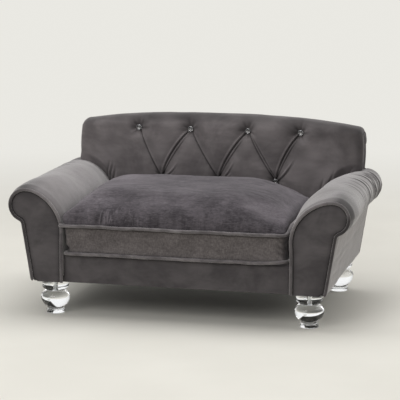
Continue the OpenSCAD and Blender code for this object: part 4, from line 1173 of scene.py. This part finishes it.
def crown_height(x, y):
    """Height of the crown above the upper seam. It is blunter on the left, where the filling has gathered."""
    u, v = np.minimum(np.abs(x) / SEAM_X, 1), np.minimum(np.abs(y) / SEAM_Y, 1)
    right = smooth((x + 110) / 240)
    tall = CROWN * (0.915 + 0.085 * smooth((x - 10) / 110))
    across = (1 - u ** (8.5 - 5.1 * right)) ** (0.38 + 0.08 * right)
    return tall * across * (1 - v ** (5.0 - 1.2 * right)) ** 0.44


def corner_pulls(p):
    """Move points of the cushion with its front corners: the upper left one stands out over the arm's piping,
    and the lower right one is drawn up."""
    x, y, z = p.T
    upper, lower = smooth((z - 205) / 22) * smooth((262 - z) / 26), smooth((185 - z) / 15)
    corner = np.hypot(x + 268, y + 257)
    ear = bump(corner, 18) * upper
    foot = bump(corner, 15) * lower
    side = bump(corner, 18) * np.clip(1 - upper - lower, 0, 1)
    tuck = bump((x - 268) / 1.6, 28) * bump(y + 250, 28) * lower
    along_side = smooth((y + 256) / 45) * smooth((130 - y) / 60)
    climb = bump(x - 274, 17) * along_side * smooth((z - 195) / 30) * (z < 270)
    return p + np.column_stack([-17.5 * ear - 6.5 * foot - 30 * side + 6 * climb,
                                -14 * ear - 4 * foot - 15 * side,
                                5.5 * tuck + 1.5 * ear + 21 * climb])


def cushion_shell():
    """The cushion's form before it swells: underside, drawn-in boxing and crown."""
    base = plan(SEAM_X, SEAM_Y, SEAM_CORNER, 6.0)
    n = len(base)
    rings = []
    centre = np.array([0.0, CUSHION_Y])

    def ring(inset, z):
        scale = np.array([(SEAM_X - inset) / SEAM_X, (SEAM_Y - inset) / SEAM_Y])
        return np.column_stack([base * scale + centre, np.full(n, z) if np.isscalar(z) else z])

    for share in (0.04, 0.3, 0.6, 0.85):
        rings.append(np.column_stack([base * share + centre, np.full(n, CUSHION_LOW_Z + 0.4)]))
    rings.append(ring(12, CUSHION_LOW_Z + 0.4))
    rings.append(ring(4, LOW_SEAM_Z - 1.6))
    rings.append(ring(0, LOW_SEAM_Z))
    for share in np.linspace(0.1, 0.9, 9):
        z = LOW_SEAM_Z + (TOP_SEAM_Z - LOW_SEAM_Z) * share
        rings.append(ring(BOXING_IN * math.sin(math.pi * share) ** 0.7, z))
    rings.append(ring(0, TOP_SEAM_Z))
    for share in (0.998, 0.993, 0.985, 0.97, 0.95, 0.925, 0.89, 0.84,
                  0.78, 0.7, 0.6, 0.48, 0.36, 0.24, 0.12, 0.04):
        flat = base * share
        rise = crown_height(flat[:, 0], flat[:, 1])
        level = rise / CROWN
        over = 18 * 4 * level * (1 - level) * smooth((-flat[:, 0] / SEAM_X - 0.6) / 0.35)
        over = over * (1 - smooth((np.abs(flat[:, 1]) / SEAM_Y - 0.87) / 0.13))
        front = 5 * 4 * level * (1 - level) * smooth((-flat[:, 1] / SEAM_Y - 0.6) / 0.35)
        rings.append(np.column_stack([flat[:, 0] - over, flat[:, 1] - front + CUSHION_Y, TOP_SEAM_Z + rise]))
    points = corner_pulls(np.concatenate(rings))
    faces = grid_faces(len(rings), n, looped=True)
    faces.append(tuple(reversed(range(n))))
    faces.append(tuple((len(rings) - 1) * n + i for i in range(n)))
    return points, outward(points, faces)


def eased(move, mesh, rounds):
    """The moves of a mesh's points, evened out with their neighbours'. The swelling stays, creases go."""
    edges = np.zeros(len(mesh.edges) * 2, int)
    mesh.edges.foreach_get("vertices", edges)
    a, b = edges.reshape(-1, 2).T
    count = np.bincount(edges, minlength=len(move)).astype(float)[:, None]
    for _ in range(rounds):
        total = np.zeros_like(move)
        np.add.at(total, a, move[b])
        np.add.at(total, b, move[a])
        move = total / count
    return move


def swollen(piece):
    """The filled cushion: its crown swells against the seams, which hold it."""
    work = placed("cushion_at_work", piece.data.copy())
    remesh = work.modifiers.new("even", "REMESH")
    remesh.mode, remesh.voxel_size, remesh.use_smooth_shade = "VOXEL", 0.0058, True
    graph = bpy.context.evaluated_depsgraph_get()
    mesh = bpy.data.meshes.new_from_object(work.evaluated_get(graph))
    work.modifiers.clear()
    work.data = mesh
    count = len(mesh.vertices)
    start = np.zeros(count * 3)
    mesh.vertices.foreach_get("co", start)
    start = start.reshape(-1, 3)
    held = work.vertex_groups.new(name="held")
    above = start[:, 2] * 1000 - TOP_SEAM_Z
    for i in np.nonzero(above < 1.5)[0].tolist():
        held.add([i], 1.0, "REPLACE")
    cloth = work.modifiers.new("swell", "CLOTH")
    cloth.settings.vertex_group_mass = "held"
    cloth.settings.quality = 5
    cloth.settings.mass = 0.3
    cloth.settings.tension_stiffness = 12
    cloth.settings.compression_stiffness = 12
    cloth.settings.shear_stiffness = 5
    cloth.settings.bending_stiffness = 0.4
    cloth.settings.use_pressure = True
    cloth.settings.uniform_pressure_force = 4.0
    cloth.settings.effector_weights.gravity = 0
    cloth.collision_settings.use_collision = False
    cloth.point_cache.frame_start, cloth.point_cache.frame_end = 1, 20
    for at in range(1, 21):
        scene.frame_set(at)
    graph = bpy.context.evaluated_depsgraph_get()
    result = work.evaluated_get(graph).to_mesh()
    end = np.zeros(count * 3)
    result.vertices.foreach_get("co", end)
    move = eased(end.reshape(-1, 3) - start, mesh, 14)
    length = np.linalg.norm(move, axis=1)
    cap = 0.009
    limit = cap * np.tanh(length / cap) / np.maximum(length, 1e-9)
    start = start + move * limit[:, None]
    scene.frame_set(1)
    work.modifiers.clear()
    mesh.vertices.foreach_set("co", start.ravel())
    mesh.update()
    finer = work.modifiers.new("finer", "SUBSURF")
    finer.levels = finer.render_levels = 1
    old = piece.data
    piece.data = bpy.data.meshes.new_from_object(work.evaluated_get(bpy.context.evaluated_depsgraph_get()))
    bpy.data.meshes.remove(old)
    bpy.data.objects.remove(work)
    return piece


def cushion():
    points, faces = cushion_shell()
    piece = swollen(placed("seat_cushion", mesh_of("seat_cushion", points, [], faces)))
    mesh, p = piece.data, places(piece)
    x, y, z = p.T
    above = smooth((z - TOP_SEAM_Z - 2) / 10)
    # Fine level creases near the right end of the crown, and short upright tucks behind the front seam
    chance = random.Random(5)
    drop = np.zeros(len(p))
    for _ in range(34):
        at = np.array([chance.uniform(120, 250), chance.uniform(-190, 120)])
        slope = chance.uniform(-0.35, 0.15)
        crease = bump(y - at[1] - slope * (x - at[0]), chance.uniform(2.5, 4.0))
        drop += chance.uniform(0.3, 0.9) * crease * bump(x - at[0], chance.uniform(14, 30))
    for _ in range(34):
        at = chance.uniform(-255, 255)
        slope = chance.uniform(-0.3, 0.3)
        drop += chance.uniform(0.3, 1.0) * bump(x - at - slope * (y + 250), 3.0) * bump(y + 254, 14)
    level = p * np.array([0.22, 1, 1])
    lift = rough(p, 60, seed=9.0) * 2.0 + rough(p, 24, seed=3.0) * 0.5
    lift = lift + rough(level, 8, seed=6.6) * 0.3 - drop
    p[:, 2] += above * lift
    boxing = smooth((z - 166) / 8) * smooth((225 - z) / 8)
    away = p[:, :2] - np.array([0, CUSHION_Y])
    away /= np.linalg.norm(away, axis=1)[:, None]
    waves = rough(p * np.array([1, 1, 0.4]), 34, seed=12.0) * 1.3 - 0.5
    p[:, :2] += away * (boxing * waves)[:, None]
    mesh.vertices.foreach_set("co", (p / 1000).ravel())
    mesh.update()
    mesh.shade_smooth()
    fitted(piece, "cushion", "plush", ["cushion_cover", "cushion_fill"])
    x, y, z = p.T
    # Painted light and shade on the cushion: the crown's front slope darker at its middle and right, the upper
    # left lighter, the top and the creases darker.
    tone = -0.22 * smooth((-y - 212) / 25) * smooth((x + 90) / 50) * above * smooth((300 - z) / 20)
    painted_light_upper_left = smooth((-x - 120) / 70) * smooth((z - 268) / 20)
    tone += -0.16 * smooth((z - 285) / 15) + 0.3 * painted_light_upper_left - 0.25 * drop * above
    # Painted shade on the crown's left wall.
    tone += -0.14 * smooth((-x - 130) / 70) * smooth((268 - z) / 15) * above
    # Painted shade at the boxing's right end, with painted light and dark wrinkle stripes, then painted light
    # on its corner.
    right_end = smooth((x - 238) / 22) * boxing
    tone += right_end * (-0.22 - 0.3 * np.sin((z + 0.9 * x) / 2.6 + 2 * rough(p, 14, seed=2.0)))
    tone += 0.6 * smooth((x - 250) / 12) * boxing
    # Painted shadows just below the upper cord and just above the lower one.
    painted_cord_shadows = 0.55 * bump(z - 224.6, 2.4) + 0.25 * bump(z - 164, 3)
    tone += -painted_cord_shadows * (np.abs(y - CUSHION_Y) > 150)
    toned(piece, tone)
    return piece


def cushion_piping(name, z, replaced, seed):
    """The piping round one seam of the cushion, a little wavy, with its front corners standing out."""
    flat = plan(SEAM_X + CORD_OUT, SEAM_Y + CORD_OUT, SEAM_CORNER + CORD_OUT, 5.0)
    line = np.column_stack([flat[:, 0], flat[:, 1] + CUSHION_Y, np.full(len(flat), z)])
    line = corner_pulls(line)
    line[:, 2] += rough(line, 60, seed=seed) * 1.4 + rough(line, 17, seed=seed) * 0.5
    line[:, 1] += rough(line, 30, seed=seed + 2) * 0.8 * (line[:, 1] < -200)
    line[:, 2] = np.maximum(line[:, 2], CUSHION_LOW_Z + 4.1)
    cord = piping(name, line, CORD_R, True, "cushion", "piping_velvet", replaced, 0.0017, 52.0)
    p = places(cord)
    return toned(cord, 0.3 * rough(p, 19, seed=seed) + 0.3 * rough(p * [1, 1, 2.2], 8, seed=seed) - 0.05)


cushion()
cushion_piping("cushion_upper_cord", TOP_SEAM_Z, ["cushion_top_piping"], 4.4)
cushion_piping("cushion_lower_cord", LOW_SEAM_Z + 0.3, ["cushion_bottom_piping"], 8.8)


# Zip


def zip_parts():
    low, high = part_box("zip_tape")
    x, y0, y1 = high.x * 1000, low.y * 1000, high.y * 1000
    z0, z1 = low.z * 1000, high.z * 1000
    xs, zs = np.linspace(-x, x, 110), np.linspace(z0, z1, 9)
    outer = np.array([[(a, y1 - 0.25 * (abs(b - (z0 + z1) / 2) > 9), b) for b in zs] for a in xs])
    inner = outer.copy()
    inner[:, :, 1] = y0
    points, faces = slab(outer, inner)
    tape = make("zip_tape_cloth", points, faces, "cushion", "lining", ["zip_tape"])


zip_parts()


def coil_tree():
    """A zip's closed coil: one thread wound flat, many turns along a line."""
    coil = Grower("zip coil", Base="Geometry", Turns="Float", Length="Float", Flatness="Vector",
                  Thread="Float", Middle="Vector", Finish="Material")
    wound = coil.node("GeometryNodeCurveSpiral", Resolution=10, Start_Radius=1.0, End_Radius=1.0)
    flat = coil.node("GeometryNodeTransform")
    laid = coil.node("GeometryNodeTransform", Rotation=(0, math.pi / 2, 0))
    section = coil.node("GeometryNodeCurvePrimitiveCircle", Resolution=5)
    thread = coil.node("GeometryNodeCurveToMesh")
    coil.link((coil.start, "Turns", wound, "Rotations"), (coil.start, "Length", wound, "Height"),
              (wound, "Curve", flat, "Geometry"), (coil.start, "Flatness", flat, "Scale"),
              (flat, "Geometry", laid, "Geometry"), (coil.start, "Middle", laid, "Translation"),
              (coil.start, "Thread", section, "Radius"), (laid, "Geometry", thread, "Curve"),
              (section, "Curve", thread, "Profile Curve"))
    return coil.ended(thread, "Mesh")


def zip_coil():
    low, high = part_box("zip_chain")
    size = high - low
    thread = 0.00032
    base = bpy.data.meshes.new("zip_coil_base")
    base.from_pydata([(0, 0, 0)], [], [])
    piece = grown("zip_coil", coil_tree(), base, {
        "Turns": round(size.x / 0.0012), "Length": size.x - 2 * thread,
        "Flatness": (size.z / 2 - thread, size.y / 2 - thread, 1.0), "Thread": thread,
        "Middle": (low.x + thread, (low.y + high.y) / 2, (low.z + high.z) / 2),
        "Finish": FINISHES["zip_plastic"]})
    fitted(piece, "cushion", "zip_plastic", ["zip_chain"])


zip_coil()

# The CAD nodes that stay in view take their finish from the record's slots
for part in frame["record"]["subparts"]:
    node = frame["nodes"][part["node"]]
    node.data.materials.clear()
    node.data.materials.append(FINISHES[part["material_slot"]])


# Stage


def stage_piece(name, size, place, finish):
    mesh = bpy.data.meshes.new(name)
    corners = [(-size, -size, 0), (size, -size, 0), (size, size, 0), (-size, size, 0)]
    mesh.from_pydata(corners, [], [(0, 1, 2, 3)])
    piece = placed(name, mesh)
    piece.location = place
    piece.data.materials.append(finish)


def softbox(name, place, aim, size, power, colour):
    lamp = bpy.data.lights.new(name, "AREA")
    lamp.shape, lamp.size, lamp.size_y = "RECTANGLE", size[0], size[1]
    lamp.energy, lamp.color = power, colour
    piece = placed(name, lamp)
    piece.location = place
    piece.rotation_euler = (Vector(aim) - Vector(place)).to_track_quat("-Z", "Y").to_euler()


FEET_X, FEET_MIDDLE_Y, FEET_HALF_Y = 0.319, 0.0015, 0.2035
floor = Finish("pale floor", Roughness=0.9, Specular_IOR_Level=0.1)
tone = floor.between(floor.noise(3.0, 3.0), 0.3, 0.7)
floor.finish(Base_Color=floor.mix(tone, (0.68, 0.665, 0.61), (0.71, 0.695, 0.64)))
distance = floor.add("ShaderNodeVectorMath", {"operation": "LENGTH"}, floor.place, output="Value")
ray = floor.add("ShaderNodeLightPath", {}).socket.node
shown = sum((Value(floor, ray.outputs[f"Is {kind} Ray"])
             for kind in ("Camera", "Glossy", "Transmission")), 0.0)
plain = floor.add("ShaderNodeEmission", {}, (0.82, 0.81, 0.765), 1.0)
centred = floor.add("ShaderNodeVectorMath", {"operation": "SUBTRACT"}, floor.place, (0, FEET_MIDDLE_Y, 0))
folded = floor.add("ShaderNodeVectorMath", {"operation": "ABSOLUTE"}, centred)
from_foot = floor.add("ShaderNodeVectorMath", {"operation": "DISTANCE"}, folded, (FEET_X, FEET_HALF_Y, 0),
                      output="Value")
# A painted glow: near each foot the floor gives out light to rays that come through the clear feet.
through_foot = Value(floor, ray.outputs["Is Transmission Ray"])
painted_glow_under_foot = floor.between(from_foot, 0.021, 0.023, 0.62, 0.0) * through_foot
bright = (shown * floor.between(distance, 0.9, 2.6) + painted_glow_under_foot).clamped()
ends = floor.add("ShaderNodeMixShader", {}, bright, Value(floor, floor.shader.outputs[0]), plain)
floor.tree.links.new(ends.socket, floor.tree.nodes["Material Output"].inputs["Surface"])
stage_piece("floor", 12.0, (0, 0, -0.0003), floor.material)

world = bpy.data.worlds.new("studio")
scene.world = world
world.use_nodes = True
nodes, links = world.node_tree.nodes, world.node_tree.links
nodes.clear()
path = nodes.new("ShaderNodeLightPath")
seen = nodes.new("ShaderNodeMath")
seen.operation = "MAXIMUM"
through = nodes.new("ShaderNodeMath")
through.operation = "MAXIMUM"
links.new(path.outputs["Is Camera Ray"], seen.inputs[0])
links.new(path.outputs["Is Glossy Ray"], seen.inputs[1])
links.new(seen.outputs[0], through.inputs[0])
links.new(path.outputs["Is Transmission Ray"], through.inputs[1])
soft, white = nodes.new("ShaderNodeBackground"), nodes.new("ShaderNodeBackground")
soft.inputs["Color"].default_value, soft.inputs["Strength"].default_value = (1.0, 0.99, 0.98, 1), 0.42
white.inputs["Color"].default_value, white.inputs["Strength"].default_value = (1, 1, 1, 1), 1.0
either, out = nodes.new("ShaderNodeMixShader"), nodes.new("ShaderNodeOutputWorld")
links.new(through.outputs[0], either.inputs[0])
links.new(soft.outputs[0], either.inputs[1])
links.new(white.outputs[0], either.inputs[2])
links.new(either.outputs[0], out.inputs["Surface"])

softbox("window_light", (2.6, 1.0, 2.2), (0, 0, 0.2), (2.2, 2.2), 25, (1.0, 0.985, 0.96))
softbox("overhead_light", (-0.2, 0.2, 3.0), (0, 0, 0.2), (3.0, 2.4), 58, (1.0, 1.0, 1.0))
softbox("front_fill", (-1.0, -3.4, 2.3), (0, 0, 0.25), (2.6, 1.8), 56, (1.0, 0.995, 0.985))

camera = placed("camera", bpy.data.cameras.new("camera"))
camera.location = (1.207, -4.835, 1.174)
camera.rotation_euler = (math.radians(90 - 10.405), 0, math.radians(14.036))
camera.data.sensor_width, camera.data.lens = 36.0, 36.0 * 2018.7 / 400
camera.data.clip_end = 60
scene.camera = camera
scene.view_settings.view_transform = "Standard"
